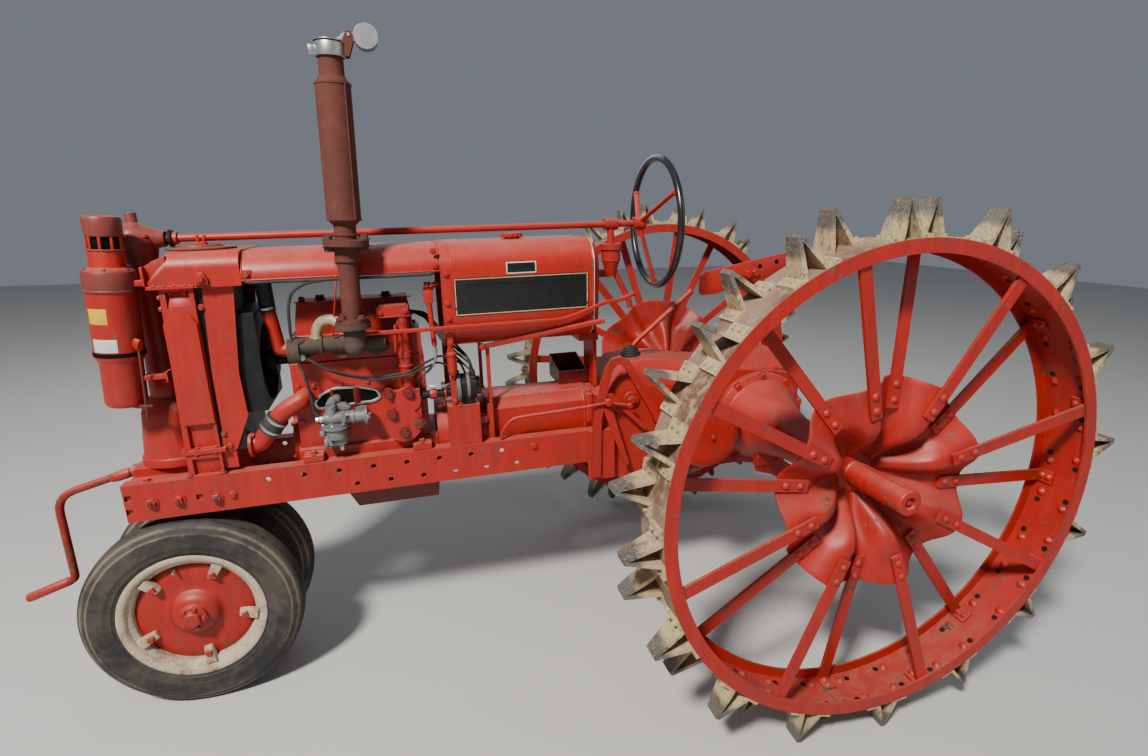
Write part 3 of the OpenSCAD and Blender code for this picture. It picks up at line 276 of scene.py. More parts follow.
zincPlate = plainMaterial("zincPlate", (0.42, 0.43, 0.44), (0.30, 0.29, 0.27), 0.36, 0.85, 0.6, 0.2, 40)
creamPaint = plainMaterial("creamPaint", (0.42, 0.35, 0.25), (0.15, 0.08, 0.045), 0.5, 0.0, 0.95, 0.4, 14)
blackRubber = plainMaterial("blackRubber", (0.018, 0.018, 0.018), (0.09, 0.08, 0.07), 0.68, 0.0, 0.4)
tyreRubber = tyreMaterial("tyreRubber")
nameBlack = plainMaterial("nameBlack", (0.006, 0.006, 0.007), (0.022, 0.020, 0.020), 0.34, coat=0.2)
goldLine = plainMaterial("goldLine", (0.50, 0.36, 0.16), (0.3, 0.2, 0.1), 0.45)
labelWhite = plainMaterial("labelWhite", (0.58, 0.57, 0.54), (0.36, 0.33, 0.3), 0.4, 0.2)
labelYellow = plainMaterial("labelYellow", (0.54, 0.33, 0.012), (0.40, 0.24, 0.03))


def smooth(mesh, sharp=32):
    mesh.polygons.foreach_set("use_smooth", [True] * len(mesh.polygons))
    mesh.set_sharp_from_angle(angle=math.radians(sharp))


def added(name, mesh, materials=()):
    for material in materials:
        mesh.materials.append(material)
    obj = bpy.data.objects.new(name, mesh)
    bpy.context.scene.collection.objects.link(obj)
    return obj


def modified(obj, kind, tree=None, inputs={}, **settings):
    # puts one modifier's result into the object's mesh; a tree's inputs are set by their identifiers
    made = obj.modifiers.new("made", kind)
    for key, value in settings.items():
        setattr(made, key, value)
    if tree:
        made.node_group = tree
        names = {item.name: item.identifier for item in tree.interface.items_tree if item.in_out == "INPUT"}
        for label, value in inputs.items():
            made[names[label]] = value
    bpy.context.view_layer.update()
    seen = obj.evaluated_get(bpy.context.evaluated_depsgraph_get())
    old, obj.data = obj.data, bpy.data.meshes.new_from_object(seen)
    obj.modifiers.clear()
    bpy.data.meshes.remove(old)


def softened(obj, width, wornSlot=-1):
    modified(obj, "BEVEL", width=width, segments=2, limit_method="ANGLE", angle_limit=math.radians(34),
             use_clamp_overlap=True, material=wornSlot)


def settled(obj, body, replaces=()):
    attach(obj, body)
    if replaces:
        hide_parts(*replaces)


def fromNode(node, width, materials, body="chassis", pick=None):
    # a copy of a CAD node with softened edges, in its own finishes
    weld = 2e-5
    bm = bmesh.new()
    bm.from_mesh(frame["nodes"][node].data)
    bmesh.ops.remove_doubles(bm, verts=bm.verts, dist=weld)
    bmesh.ops.dissolve_degenerate(bm, edges=bm.edges, dist=weld)
    bmesh.ops.dissolve_limit(bm, angle_limit=math.radians(0.6), verts=bm.verts, edges=bm.edges)
    for face in bm.faces:
        face.material_index = pick(face.calc_center_median(), face.normal) if pick else 0
    mesh = bpy.data.meshes.new(node + "_look")
    bm.to_mesh(mesh)
    bm.free()
    obj = added(node + "_look", mesh, materials)
    softened(obj, width, len(materials) - 1 if len(materials) > 1 and pick is None else -1)
    smooth(obj.data)
    # wide faces keep their own direction
    modified(obj, "WEIGHTED_NORMAL", mode="FACE_AREA", weight=50, keep_sharp=True)
    settled(obj, body, (node,))


# One piece being made, in the millimetres of its frame
boxFaces = ((0, 1, 3, 2), (4, 6, 7, 5), (0, 4, 5, 1), (2, 3, 7, 6), (0, 2, 6, 4), (1, 5, 7, 3))


class Form:
    def __init__(self, name, place=stance):
        self.name, self.place, self.bm = name, place, bmesh.new()

    def face(self, verts, slot=0):
        self.bm.faces.new(verts).material_index = slot

    def row(self, points):
        return [self.bm.verts.new(p) for p in points]

    def band(self, one, two, slot=0, loop=True):
        # faces between two rows of points
        for i in range(len(one) if loop else len(one) - 1):
            j = (i + 1) % len(one)
            self.face((one[i], one[j], two[j], two[i]), slot)

    def skin(self, rings, slot=0):
        # closed rings of points one after the other, with both ends filled
        rings = [self.row(ring) for ring in rings]
        for one, two in zip(rings, rings[1:]):
            self.band(one, two, slot)
        for ring in (rings[0], rings[-1]):
            self.face(ring, slot)

    def shell(self, outer, inner, slot=0, loop=True):
        # a sheet between two faces, each given as rows of points
        outer, inner = [self.row(points) for points in outer], [self.row(points) for points in inner]
        for side in (outer, inner):
            for one, two in zip(side, side[1:]):
                self.band(one, two, slot, loop)
        for i in (0, -1):
            self.band(outer[i], inner[i], slot, loop)
            for k in range(0 if loop else len(outer) - 1):
                self.face((outer[k][i], inner[k][i], inner[k + 1][i], outer[k + 1][i]), slot)

    def put(self, points, faces, slot=0):
        made = self.row(points)
        for face in faces:
            self.face([made[i] for i in face], slot)

    def block(self, low, high):
        xs, ys, zs = zip(low, high)
        self.put([(x, y, z) for x in xs for y in ys for z in zs], boxFaces)

    def prism(self, outline, low, high, slot=0):
        # outline in X and Z
        count = len(outline)
        faces = [tuple(range(count)), tuple(reversed(range(count, 2 * count)))]
        faces += [(i, count + i, count + (i + 1) % count, (i + 1) % count) for i in range(count)]
        self.put([(x, y, z) for y in (low, high) for x, z in outline], faces, slot)

    def lathe(self, profile, origin, axis, slot=0, sides=32, closed=False):
        # profile of (radius, along); axis is a direction
        turn, origin = Vector(axis).to_track_quat("Z", "Y").to_matrix(), Vector(origin)
        rings = []
        for radius, along in profile:
            turns = [math.tau * i / sides for i in range(sides if radius else 1)]
            rings.append(self.row(origin + turn @ Vector((radius * math.cos(a), radius * math.sin(a), along))
                                  for a in turns))
        for one, two in zip(rings, rings[1:] + rings[:1] if closed else rings[1:]):
            for i in range(sides):
                j = (i + 1) % sides
                corners = [one[i % len(one)], one[j % len(one)], two[j % len(two)], two[i % len(two)]]
                unique = list(dict.fromkeys(corners))
                if len(unique) > 2:
                    self.face(unique, slot)
        for ring in () if closed else (rings[0], rings[-1]):
            if len(ring) > 2:
                self.face(ring, slot)

    def collar(self, inner, outer, low, high, origin, axis, slot=0, sides=32, cut=1.0):
        # a raised ring round a rod or a pipe
        self.lathe([(inner, low), (outer, low + cut), (outer, high - cut), (inner, high)], origin, axis, slot, sides,
                   closed=True)

    def tube(self, points, radius, slot=0, sides=12, bend=3.0, ratio=(1, 1)):
        # a pipe or rod along points, with rounded bends
        path = smoothPath([Vector(p) for p in points], radius * bend)
        side = None
        rings = []
        for i, p in enumerate(path):
            way = (path[min(i + 1, len(path) - 1)] - path[max(i - 1, 0)]).normalized()
            if side is None:
                side = way.orthogonal().normalized() if abs(way.z) > 0.95 else way.cross(Vector(up)).normalized()
            side = (side - way * side.dot(way)).normalized()
            lift = side.cross(way)
            rings.append([p + side * (radius * ratio[0] * x) + lift * (radius * ratio[1] * y)
                          for x, y in circle(1, evenly(sides))])
        self.skin(rings, slot)

    def done(self, materials, bevel=0.0, slot="red_paint", body="chassis", replaces=(), sharp=32):
        bmesh.ops.remove_doubles(self.bm, verts=self.bm.verts, dist=0.01)
        bmesh.ops.transform(self.bm, matrix=self.place, verts=self.bm.verts)
        bmesh.ops.recalc_face_normals(self.bm, faces=self.bm.faces)
        mesh = bpy.data.meshes.new(self.name)
        self.bm.to_mesh(mesh)
        self.bm.free()
        obj = added(self.name, mesh, materials)
        if bevel:
            softened(obj, bevel)
        smooth(obj.data, sharp)
        settled(obj, body, replaces)


def smoothPath(points, reach):
    # rounds each corner of a path with a short arc
    path = [points[0]]
    for before, here, after in zip(points, points[1:], points[2:]):
        back, on = before - here, after - here
        cut = min(reach, back.length * 0.45, on.length * 0.45)
        start, end = here + back.normalized() * cut, here + on.normalized() * cut
        for t in (0, 0.2, 0.4, 0.6, 0.8, 1):
            path.append(start.lerp(here, t).lerp(here.lerp(end, t), t))
    return path + [points[-1]]


# Bolts and rivets by Geometry Nodes: heads on washers at points that carry a direction
def fastenerTree(name):
    graph = Graph(bpy.data.node_groups.new(name, "GeometryNodeTree"))
    given = graph.sockets({"Places": "Geometry", "Head Radius": "Float", "Head Height": "Float",
                           "Washer Radius": "Float", "Washer Height": "Float", "Sides": "Int", "Crown": "Float",
                           "Seed": "Int", "Finish": "Material"}, "Fasteners")
    radius, thick = given["Head Radius"], given["Washer Height"]
    head = graph.wave("GeometryNodeMeshCone", {"Vertices": given["Sides"], "Radius Bottom": radius,
                                               "Radius Top": radius - radius * given["Crown"],
                                               "Depth": given["Head Height"]}, fill_type="NGON")
    washer = graph.wave("GeometryNodeMeshCylinder", {"Vertices": 14, "Radius": given["Washer Radius"], "Depth": thick},
                        fill_type="NGON")
    both = graph.node("GeometryNodeJoinGeometry")
    for shape, lift in ((head, thick), (washer, thick * 0.5)):
        shift = graph.wave("ShaderNodeCombineXYZ", {"Z": lift})
        moved = graph.wave("GeometryNodeTransform", {"Geometry": shape, "Translation": shift})
        graph.tree.links.new(moved.socket, both.inputs[0])
    points = graph.wave("GeometryNodeMeshToPoints", {"Mesh": given["Places"]})
    facing = graph.wave("GeometryNodeInputNamedAttribute", {"Name": "facing"}, data_type="FLOAT_VECTOR")
    aimed = graph.wave("FunctionNodeAlignRotationToVector", {"Vector": facing}, axis="Z")
    spin = graph.wave("FunctionNodeRandomValue", {2: 0.0, 3: 6.283, "Seed": given["Seed"]}, 1, data_type="FLOAT")
    turn = graph.wave("FunctionNodeAxisAngleToRotation", {"Axis": up, "Angle": spin})
    turned = graph.wave("FunctionNodeRotateRotation", {"Rotation": aimed, "Rotate By": turn}, rotation_space="LOCAL")
    placed = graph.wave("GeometryNodeInstanceOnPoints", {"Points": points, "Instance": both.outputs[0],
                                                         "Rotation": turned})
    return graph.painted(placed, given["Finish"])


# Rows of slats or fins by Geometry Nodes: one bar repeated by a step
def slatTree(name):
    graph = Graph(bpy.data.node_groups.new(name, "GeometryNodeTree"))
    given = graph.sockets({"Shape": "Geometry", "Count": "Int", "Start": "Vector", "Step": "Vector", "Size": "Vector",
                           "Finish": "Material"}, "Slats")
    row = graph.wave("GeometryNodeMeshLine", {"Count": given["Count"], "Start Location": given["Start"],
                                              "Offset": given["Step"]})
    bar = graph.wave("GeometryNodeMeshCube", {"Size": given["Size"]})
    return graph.painted(graph.wave("GeometryNodeInstanceOnPoints", {"Points": row, "Instance": bar}), given["Finish"])


fasteners, slatMaker = fastenerTree("fasteners"), slatTree("slatMaker")
boltParts = ("Head Radius", "Head Height", "Washer Radius", "Washer Height", "Sides", "Crown")
boltSizes = {
    "cap": (0.0105, 0.008, 0.014, 0.002, 6, 0.12), "small": (0.0075, 0.006, 0.010, 0.0015, 6, 0.12),
    "large": (0.0145, 0.011, 0.019, 0.003, 6, 0.12), "square": (0.0125, 0.009, 0.009, 0.001, 4, 0.1),
    "rivet": (0.0115, 0.006, 0.0118, 0.001, 14, 0.55), "dome": (0.0125, 0.0075, 0.0130, 0.0010, 22, 0.85),
    # hole: a flat disc only, finished dark as painted shade for a hole
    "hole": (0.0085, 0.0003, 0.0085, 0.0003, 14, 0.0), "stud": (0.0065, 0.020, 0.0070, 0.0005, 10, 0.1),
    "pin": (0.0045, 0.003, 0.0046, 0.0008, 10, 0.5),
}


def fasten(name, kind, places, finish=redWorn, body="chassis", place=stance, both=False):
    # places: points for each direction that a head faces, or rows of a point and its direction
    # both: the same places again on the far side
    if isinstance(places, dict):
        places = [(point, way) for way, points in places.items() for point in points]
    if both:
        places = places + [((x, -y, z), (dx, -dy, dz)) for (x, y, z), (dx, dy, dz) in places]
    turn = place.to_3x3()
    mesh = bpy.data.meshes.new(name)
    mesh.from_pydata([place @ Vector(p) for p, d in places], [], [])
    facing = mesh.attributes.new("facing", "FLOAT_VECTOR", "POINT")
    for i, (p, d) in enumerate(places):
        facing.data[i].vector = (turn @ Vector(d)).normalized()
    obj = added(name, mesh)
    modified(obj, "NODES", fasteners, {**dict(zip(boltParts, boltSizes[kind])), "Seed": 4, "Finish": finish})
    smooth(obj.data, 30)
    settled(obj, body)


def slats(name, count, start, step, size):
    # made in the machine's millimetres, then set down with it
    obj = added(name, bpy.data.meshes.new(name))
    modified(obj, "NODES", slatMaker, {"Count": count, "Start": start, "Step": step, "Size": size, "Finish": coreBlack})
    obj.data.transform(stance)
    settled(obj, "chassis")


print("softening the castings")
castings = {
    "frame_rail_left": 0.0015, "frame_rail_right": 0.0015, "front_bolster": 0.004, "steering_pedestal": 0.004,
    "radiator_frame": 0.004, "engine_block": 0.004, "cylinder_head": 0.004, "governor": 0.004, "clutch_housing": 0.004,
    "torque_tube": 0.004, "transmission_case": 0.006, "axle_housing_left": 0.004, "axle_housing_right": 0.004,
    "brake_drums": 0.004, "tank_support": 0.002, "tank_upright": 0.002, "shaft_support": 0.002, "drawbar": 0.002,
    "hooped_bar": 0.0015, "fuel_tank": 0.003,
}
for node, width in castings.items():
    fromNode(node, width, [redSheet if node == "fuel_tank" else redPaint, redWorn])
# oil pan and tool tray take the dark red: grime plus painted shade
for node in ("oil_pan", "tool_tray"):
    fromNode(node, 0.0015, [redDark, redWorn])
for node in ("radiator_core", "cooling_fan", "magneto"):
    fromNode(node, 0.001, [blackPaint])
fromNode("carburettor", 0.002, [greyIron])
fromNode("exhaust_manifold", 0.002, [manifoldIron])
fromNode("exhaust_stack", 0.001, [exhaustRust])
fromNode("rain_cap", 0.0006, [zincPlate, blackPaint], "rain_cap",
         lambda middle, normal: int(middle.x > 0.515 and abs(normal.z) > 0.5))
fromNode("steering_shaft", 0.0008, [redPaint, redWorn], body="steering_wheel")
fromNode("steered_axle", 0.003, [redPaint, redWorn], body="front_truck")

print("building the rear wheels")
rearWheel = {
    "rim": 686, "wall": 7, "track": 793, "lugStep": 22.5, "restTurn": 5.625, "rowOffset": 38, "footAside": 52,
    "footTop": 692, "seatFrom": 225, "seatRise": 22, "slope": 0.0874, "spokeThick": 10, "spokeWide": 34,
    "rings": ((58, -96, -104), (78, -80, -98), (100, -52, -90), (122, -24, -80), (145, 0, -68), (168, 17, -54),
              (188, 25, -41), (206, 26, -30), (225, 22.5, -22.5), (255, 24.6, -24.6), (285, 27.2, -27.2),
              (300, 28.6, -28.6), (315, 29.9, -29.9)),
    "discThick": 6, "lobes": 8, "shaft": 37, "shaftOut": 116, "boss": 66,
}


def onWheel(angle, radius, along, aside=0.0):
    # a place in a wheel's frame: angle from +X towards +Z, and a step aside along the rim
    (x, z), = circle(1, (angle,))
    return (radius * x - aside * z, along, radius * z + aside * x)


def rimPick(middle, normal):
    # 0 the painted rim and spokes, 1 the worn tread face, 2 the bare lugs
    out = Vector((middle.x - rearAxle[0], 0, middle.z - rearAxle[2]))
    radius = out.length * 1000
    return 2 if radius > 686.6 else int(radius > 680 and normal.dot(out.normalized()) > 0.9)


def hubDisc(side, body, place):
    facts = rearWheel
    form = Form("hubDisc_" + side, place)
    start = -90 + facts["restTurn"]
    skins = ([], [])
    for radius, ridge, valley in facts["rings"]:
        for skin in skins:
            skin.append([])
        for angle in evenly(128, start):
            wave = -math.cos(math.radians(facts["lobes"] * (angle - start)))
            shape = math.copysign(min(1.0, abs(wave) * 1.12) ** 0.85, wave)
            for skin, sunk in zip(skins, (0, facts["discThick"])):
                skin[-1].append(onWheel(angle, radius, (ridge + valley) / 2 + (ridge - valley) / 2 * shape - sunk))
    form.shell(*skins, loop=True)
    boss, shaft, out = facts["boss"], facts["shaft"], facts["shaftOut"]
    form.lathe([(shaft - 1, -120), (boss - 6, -122), (boss, -116), (boss, -102), (boss - 8, -98), (shaft + 4, -97),
                (shaft, -92), (shaft, out - 6), (shaft - 3, out - 1), (shaft - 6, out), (shaft - 19, out),
                (shaft - 21, out - 3), (shaft - 21, out - 12), (7, out - 12), (7, out - 5), (0, out - 4)], centre,
                left, 0, 56)
    form.lathe([(50, -152), (50, -118)], centre, left, 0, 48)
    form.lathe([(24, -192), (27, -188), (27, -118)], centre, left, 0, 40)
    form.prism([(-6, shaft - 3), (6, shaft - 3), (6, shaft + 2.5), (-6, shaft + 2.5)], -60, out - 30)
    form.done([redRim], 0.0008, body=body, replaces=("rear_hub_" + side,), sharp=40)


def buildRearWheel(side, sign):
    facts = rearWheel
    body = "rear_wheel_" + side
    place = wheelFrame(rearAxle, facts["track"], sign, 0)
    fromNode("rear_rim_" + side, 0.0018, [redRim, rimTread, lugSteel], body=body, pick=rimPick)
    hubDisc(side, body, place)
    inside = facts["rim"] - facts["wall"]
    heads, nuts, holes, rivets = [], [], [], []
    for k in range(16):
        for row in (1, -1):
            angle = -90 - row * facts["restTurn"] + k * facts["lugStep"]
            for way in (-1, 1):
                aside = way * (facts["footAside"] + 1)
                for shift in (-15, 15):
                    spot = onWheel(angle, facts["footTop"], row * facts["rowOffset"] + shift, aside)
                    heads.append((spot, onWheel(angle, 1, 0)))
                for places, step, along, sunk in ((nuts, 0, 0, 0.5), (holes, 27, 3, 1.0)):
                    turn = angle + math.degrees((aside + way * step) / inside)
                    places.append((onWheel(turn, inside - sunk, row * (facts["rowOffset"] + along)),
                                   onWheel(turn, -1, 0)))
    form = Form("spokeFeet_" + side, place)
    wide = facts["spokeWide"] / 2 + 4
    for k in range(8):
        for row in (1, -1):
            angle = -90 + facts["restTurn"] + facts["lugStep"] * (2 * k + (row > 0))
            for radius in (248, 292):
                seat = facts["seatRise"] + (radius - facts["seatFrom"]) * facts["slope"]
                rivets.append((onWheel(angle, radius, row * seat + 0.3 + facts["spokeThick"]), left))
            rivets += [(onWheel(angle, inside - 8, row * along), onWheel(angle, -1, 0)) for along in (46, 26)]
            corners = [(r, row * y, s) for r in (inside - 8, inside + 0.5) for y in (12, 66) for s in (-wide, wide)]
            form.put([onWheel(angle, *corner) for corner in corners], boxFaces)
    # rimHoles_ are flat black discs on the rim's inner face: painted shade standing for the holes
    for name, kind, places, finish in (("lugBolts_", "small", heads, lugSteel), ("lugNuts_", "dome", nuts, redRim),
                                       ("rimHoles_", "hole", holes, blackPaint),
                                       ("spokeRivets_", "rivet", rivets, redRim)):
        fasten(name + side, kind, places, finish, body=body, place=place)
    form.done([redRim], 0.0025, body=body)


for side, sign in (("left", 1), ("right", -1)):
    buildRearWheel(side, sign)

print("building the front wheels")
frontWheel = {
    "tyre": 316, "clampTurns": (43, 115, 187, 259, 331), "groove": 5.0,
    "ribs": (-29, -15.5, -5, 5, 15.5, 29), "track": 128, "wall": ((196, 37), (205, 43.5), (212, 45), (219, 47.5),
                                                                  (221, 49.8), (224, 49.6), (238, 54.2), (240, 55.6),
                                                                  (243, 55.2),
             (262, 56), (278, 54), (281, 54.4), (284, 52.6), (297, 45), (301, 43.4), (303, 41), (309, 35.5),
             (312.5, 32)),
    "rim": ((186, -48), (203, -50), (209, -48.5), (210, -46), (204, -44.5), (199, -42), (193, -38), (191, -30),
            (190.5, 0), (191, 30), (193, 38), (199, 42), (204, 44.5), (210, 46), (209, 48.5), (203, 50), (192, 47),
            (187, 42), (184, 34), (176, 30), (171, 24), (170, 10), (170, -10), (171, -24), (176, -30), (184, -36)),
    "disc": ((23, -44), (46, -44), (58, -12), (92, 3), (130, 9), (160, 2), (168, -2), (171.5, -3), (171.5, 9),
             (160, 15), (130, 21), (100, 17), (80, 18), (74, 22), (70, 30), (62, 40), (52, 46), (42, 48.5), (41, 52),
             (41, 60), (36, 63), (28, 64), (25.5, 66), (25, 75), (21, 78), (0, 78)),
    "clamp": ((126, 18, 32, 13), (140, 20, 36, 15), (158, 18, 40, 16), (172, 26, 42, 17), (181, 33, 42, 17)),
}


def buildFrontWheel(side, sign):
    facts = frontWheel
    body = "front_wheel_" + side
    place = wheelFrame(frontAxle, facts["track"], sign, lean)
    form = Form("tyre_" + side, place)
    tread = []
    for low, high in zip(facts["ribs"], facts["ribs"][1:]):
        first, last = (facts["tyre"] - (abs(y) / 40) ** 2 * 4 for y in (low + 1.6, high - 1.6))
        tread += [(first - facts["groove"], low + 0.8), (first, low + 1.9), (last, high - 1.9),
                  (last - facts["groove"], high - 0.8)]
    form.lathe([(r, -y) for r, y in facts["wall"]] + tread + [*reversed(facts["wall"])], centre, left, 0, 112,
               closed=True)
    form.done([tyreRubber], 0, "black_rubber", body, ("front_tyre_" + side,), 50)
    form = Form("wheelRim_" + side, place)
    form.lathe(facts["rim"], centre, left, 0, 96, closed=True)
    form.lathe(facts["disc"], centre, left, 1, 80)
    form.lathe([(8, 60), (8.5, 61.5), (8.5, 70), (0, 71)], onWheel(52, 33, 0), left, 1, 12)
    form.lathe([(4.2, 8), (4.2, 42), (3.4, 46), (0, 46)], onWheel(78, 158, 0), left, 2, 10)
    for turn in facts["clampTurns"]:
        rings = []
        for radius, low, high, wide in facts["clamp"]:
            corners = ((low, -wide), (low, wide), (high, wide - 3), (high, 3 - wide))
            rings.append([onWheel(90 - turn, radius, y, s) for y, s in corners])
        form.skin(rings)
    form.done([creamPaint, redRim, zincPlate], 0.0015, body=body, replaces=("front_rim_" + side,), sharp=35)
    fasten("clampNuts_" + side, "square", {left: [onWheel(90 - t, 144, 36.5) for t in facts["clampTurns"]]}, body=body,
           place=place)
    fasten("hubBolts_" + side, "small", {left: [onWheel(t, 33, 62.5) for t in evenly(5, 36)]}, redRim, body=body,
           place=place)


for side, sign in (("left", 1), ("right", -1)):
    buildFrontWheel(side, sign)

print("fitting the steering wheel")
steeringWheel = {"at": (352, 0, 716), "rim": 217, "grip": 12, "hub": 22, "hubEnds": (38, 84), "spoke": 8,
                 "turns": (30, 150, 270)}


def buildSteeringWheel(facts):
    at, hub, spoke, (low, high) = Vector(facts["at"]), facts["hub"], facts["spoke"], facts["hubEnds"]
    form = Form("steeringWheel")
    form.lathe(circle(facts["grip"], evenly(18), (facts["rim"], 0)), at, ahead, 0, 112, closed=True)
    form.lathe([(0, low - 5), (8, low - 5), (9, low), (18, low + 1), (hub, low + 5), (hub + 1, low + 22),
                (hub - 1, low + 30), (hub, high - 3), (hub - 4, high), (12, high)], at, ahead, 1, 40)
    for y, z in circle(1, facts["turns"]):
        out = Vector((0, y, z))
        start, end = at + out * 12 + Vector((low + 20, 0, 0)), at + out * (facts["rim"] - 4)
        form.tube([start, start.lerp(end, 0.5), end], spoke, 1, 14, ratio=(1.2, 0.85))
        form.tube([start.lerp(end, 0.90), end], spoke + 2.5, 1, 14)
    form.done([blackGloss, redPaint], 0, "black_paint", "steering_wheel", ("steering_wheel",))


buildSteeringWheel(steeringWheel)

print("detailing the front")
railSide = 164
railBolts = {left: [(2005, railSide, -33), (1934, railSide, -35), (1834, railSide, -44)]}
fasten("railBolts", "large", railBolts, both=True)
fasten("railStuds", "stud", railBolts, exhaustRust, both=True)
fasten("railNuts", "cap", {left: [(1789, railSide, -38), (857, railSide, -1), (632, 176.3, 3), (644, 176.3, -120)],
                           up: [(2012, 146, 28), (1220, 146, 52.3), (1550, 146, 52.3), (1090, 150, 165)]}, both=True)
postBolts = {
    "small": {up: [(1862, 157, 112), (1812, 157, 112), (1895, 158, 112), (1893, 157, 33.3), (1806, 157, 33.3)],
              down: [(1866, 157, 100), (1816, 157, 100), (1858, 152, 576.5), (1822, 152, 576.5)],
              left: [(1787, 149.3, 529), (1788, 149.3, 152), (1776, 149.3, 112), (1654, 174.2, 616),
                     (1136, 174.2, 616), (1138, 174.2, 660)],
              ahead: [(1882, 152, 562), (1883, 152, 530)]},
    "pin": {up: [(x, 170.5, 595) for x in (1811, 1837, 1862, 1888)]},
}
for kind, places in postBolts.items():
    fasten("postBolts_" + kind, kind, places, both=True)

form = Form("headerLugs")
for sign in (1, -1):
    form.prism([(1752, 594), (1786, 594), (1786, 612), (1774, 628), (1762, 628), (1752, 612)], sign * 168, sign * 178)
    form.tube([(1668, sign * 173, 600), (1124, sign * 173, 600)], 2.8, sides=10)
form.block((1774, 20, 696), (1802, 46, 703))
for low, high in ((1781, 1778), (1795, 1798)):
    form.tube([(low, 33, 700), (high, 33, 724)], 5)
form.done([redPaint], 0.0015)
fasten("lugBolts", "cap", {left: [(1769, 178, 611)]}, both=True)

gearCase = {"at": (1966, 0), "ring": 52, "top": 722, "boltTurns": (25, 80, 135, 225, 280, 335), "nose": (1886, 0, 716)}
fasten("gearCaseBolts", "small", {up: [(*p, gearCase["top"])
                                       for p in circle(gearCase["ring"], gearCase["boltTurns"], gearCase["at"])]})
form = Form("gearCaseFittings")
form.lathe([(19, 0), (24, 1), (25.5, 6), (24, 11), (19, 12)], (1867, 0, 716), ahead, 1, closed=True)
form.done([redDark, blackPaint], 0.001, "dark_red_paint")

slats("coreFins", 54, (1876.2, 0, 106), (0, 0, 8.8), (3.5, 286, 2.2))
slats("coreTubes", 24, (1875.4, -138, 341), (0, 12, 0), (2.0, 4, 484))

cleaner = {
    "foot": (2024, 130, 262), "lean": -3.7, "wall": 60, "ear": 148, "vanes": 9, "vaneTurn": 14.3239449,
    "patches": ((45, 107, 163, 199, 1.0, 3), (40, 93, 240, 282, 0.6, 4)),
    "cup": ((0, 0), (40, 0), (47, 3), (51, 10), (52, 18), (52, 126), (54, 134), (59, 140), (60, 146)),
    "can": ((60, 146), (60, 322), (60.5, 324), (63, 325), (63, 370), (61, 379), (55, 385), (44, 388), (42, 390),
            (42, 434), (39, 437), (35, 437)),
    "cap": ((35, 470), (41, 470), (43, 472), (44, 476), (45, 515), (42, 522), (30, 525), (0, 525)),
}


def cleanerDetail(facts):
    wall = facts["wall"]
    place = stance @ Matrix.Translation(facts["foot"]) @ Matrix.Rotation(math.radians(facts["lean"]), 4, "Y")
    form = Form("airCleaner", place)
    for part, slot in (("cup", 0), ("can", 0), ("cap", 1)):
        form.lathe(facts[part], centre, up, slot, 72)
    # a near-black core inside the vanes: painted shade for the dark gap between the can and the cap
    form.lathe([(0, 430), (34, 430), (34, 476), (0, 476)], centre, up, 2)
    for x, y in circle(38.5, evenly(facts["vanes"], facts["vaneTurn"])):
        form.tube([(x, y, 434), (x, y, 472)], 4.2, 0, 8)
    form.collar(wall - 1, wall + 2, 148, 160, centre, up, 2, 72, 0.6)
    form.lathe([(63, 324), (64.4, 325.5), (64.4, 329), (63, 331)], centre, up, 1, 72, closed=True)
    form.lathe([(63.1, 331), (63.5, 332), (63.5, 369), (61.5, 379.3), (55.3, 385.3)], centre, up, 1, 72)
    form.collar(42, 44, 432, 438, centre, up, 1, 64)
    for start, end, low, high, thick, slot in facts["patches"]:
        turns = [start + (end - start) * i / 14 for i in range(15)]
        faces = ([[(x, y, z) for x, y in circle(r, turns)] for z in (low, high)] for r in (wall, wall + thick))
        form.shell(*faces, slot, False)
    (x, y), = circle(1, (facts["ear"],))
    out = Vector((x, y, 0))

    def ear(away, height, aside=0):
        return out * away + Vector((aside, 0, height))

    form.tube([ear(wall - 2, 182), ear(wall + 16, 178)], 9, ratio=(1, 1.9))
    rod = wall + 9
    form.tube([ear(rod, 184), ear(rod, -34)], 3.2, 5, 10)
    form.tube([ear(rod, 4, -17), ear(rod, 4, 17)], 4.2, 5, 10)
    form.tube([ear(rod, 0), ear(34, -3), ear(-20, -3)], 4.5, 0, 10)
    form.done([redPaint, canRed, coreBlack, labelWhite, labelYellow, exhaustRust], 0.0006, replaces=("air_cleaner",))
    form = Form("cleanerBracket")
    form.prism([(1909, 596), (1960, 596), (1960, 612), (1909, 612)], 112, 148)
    form.prism([(1909, 330), (1975, 330), (1975, 344), (1909, 344)], 118, 142)
    form.prism([(1903, 322), (1910, 322), (1910, 352), (1903, 352)], 108, 150)
    form.done([redPaint], 0.0015)
    fasten("cleanerBolts", "pin", {up: [(*p, 384.5) for p in circle(55, evenly(6, 40))]}, redDark, place=place)


cleanerDetail(cleaner)

# The steering gear's case: a bowl, a cone up to the plugged stub, and the nose round the long shaft
form = Form("gearHead")
form.lathe([(0, 640.5), (37, 640.5), (43, 644), (47, 652), (53, 678), (57, 702), (60, 704), (60, 716), (57, 719),
            (50, 724), (40, 737), (28, 752), (19, 761), (15.5, 764), (15.5, 790), (14, 792), (11, 792), (11, 787),
            (0, 787)], (*gearCase["at"], 0), up, 0, 56)
form.lathe([(19.5, 0), (22, 1), (23.5, 4), (25, 14), (29, 26), (37, 48), (44, 70), (47, 88), (19.5, 88)],
           gearCase["nose"], ahead, 0, 48, closed=True)
form.done([canRed], 0.001, "dark_red_paint", replaces=("steering_gear_case",))

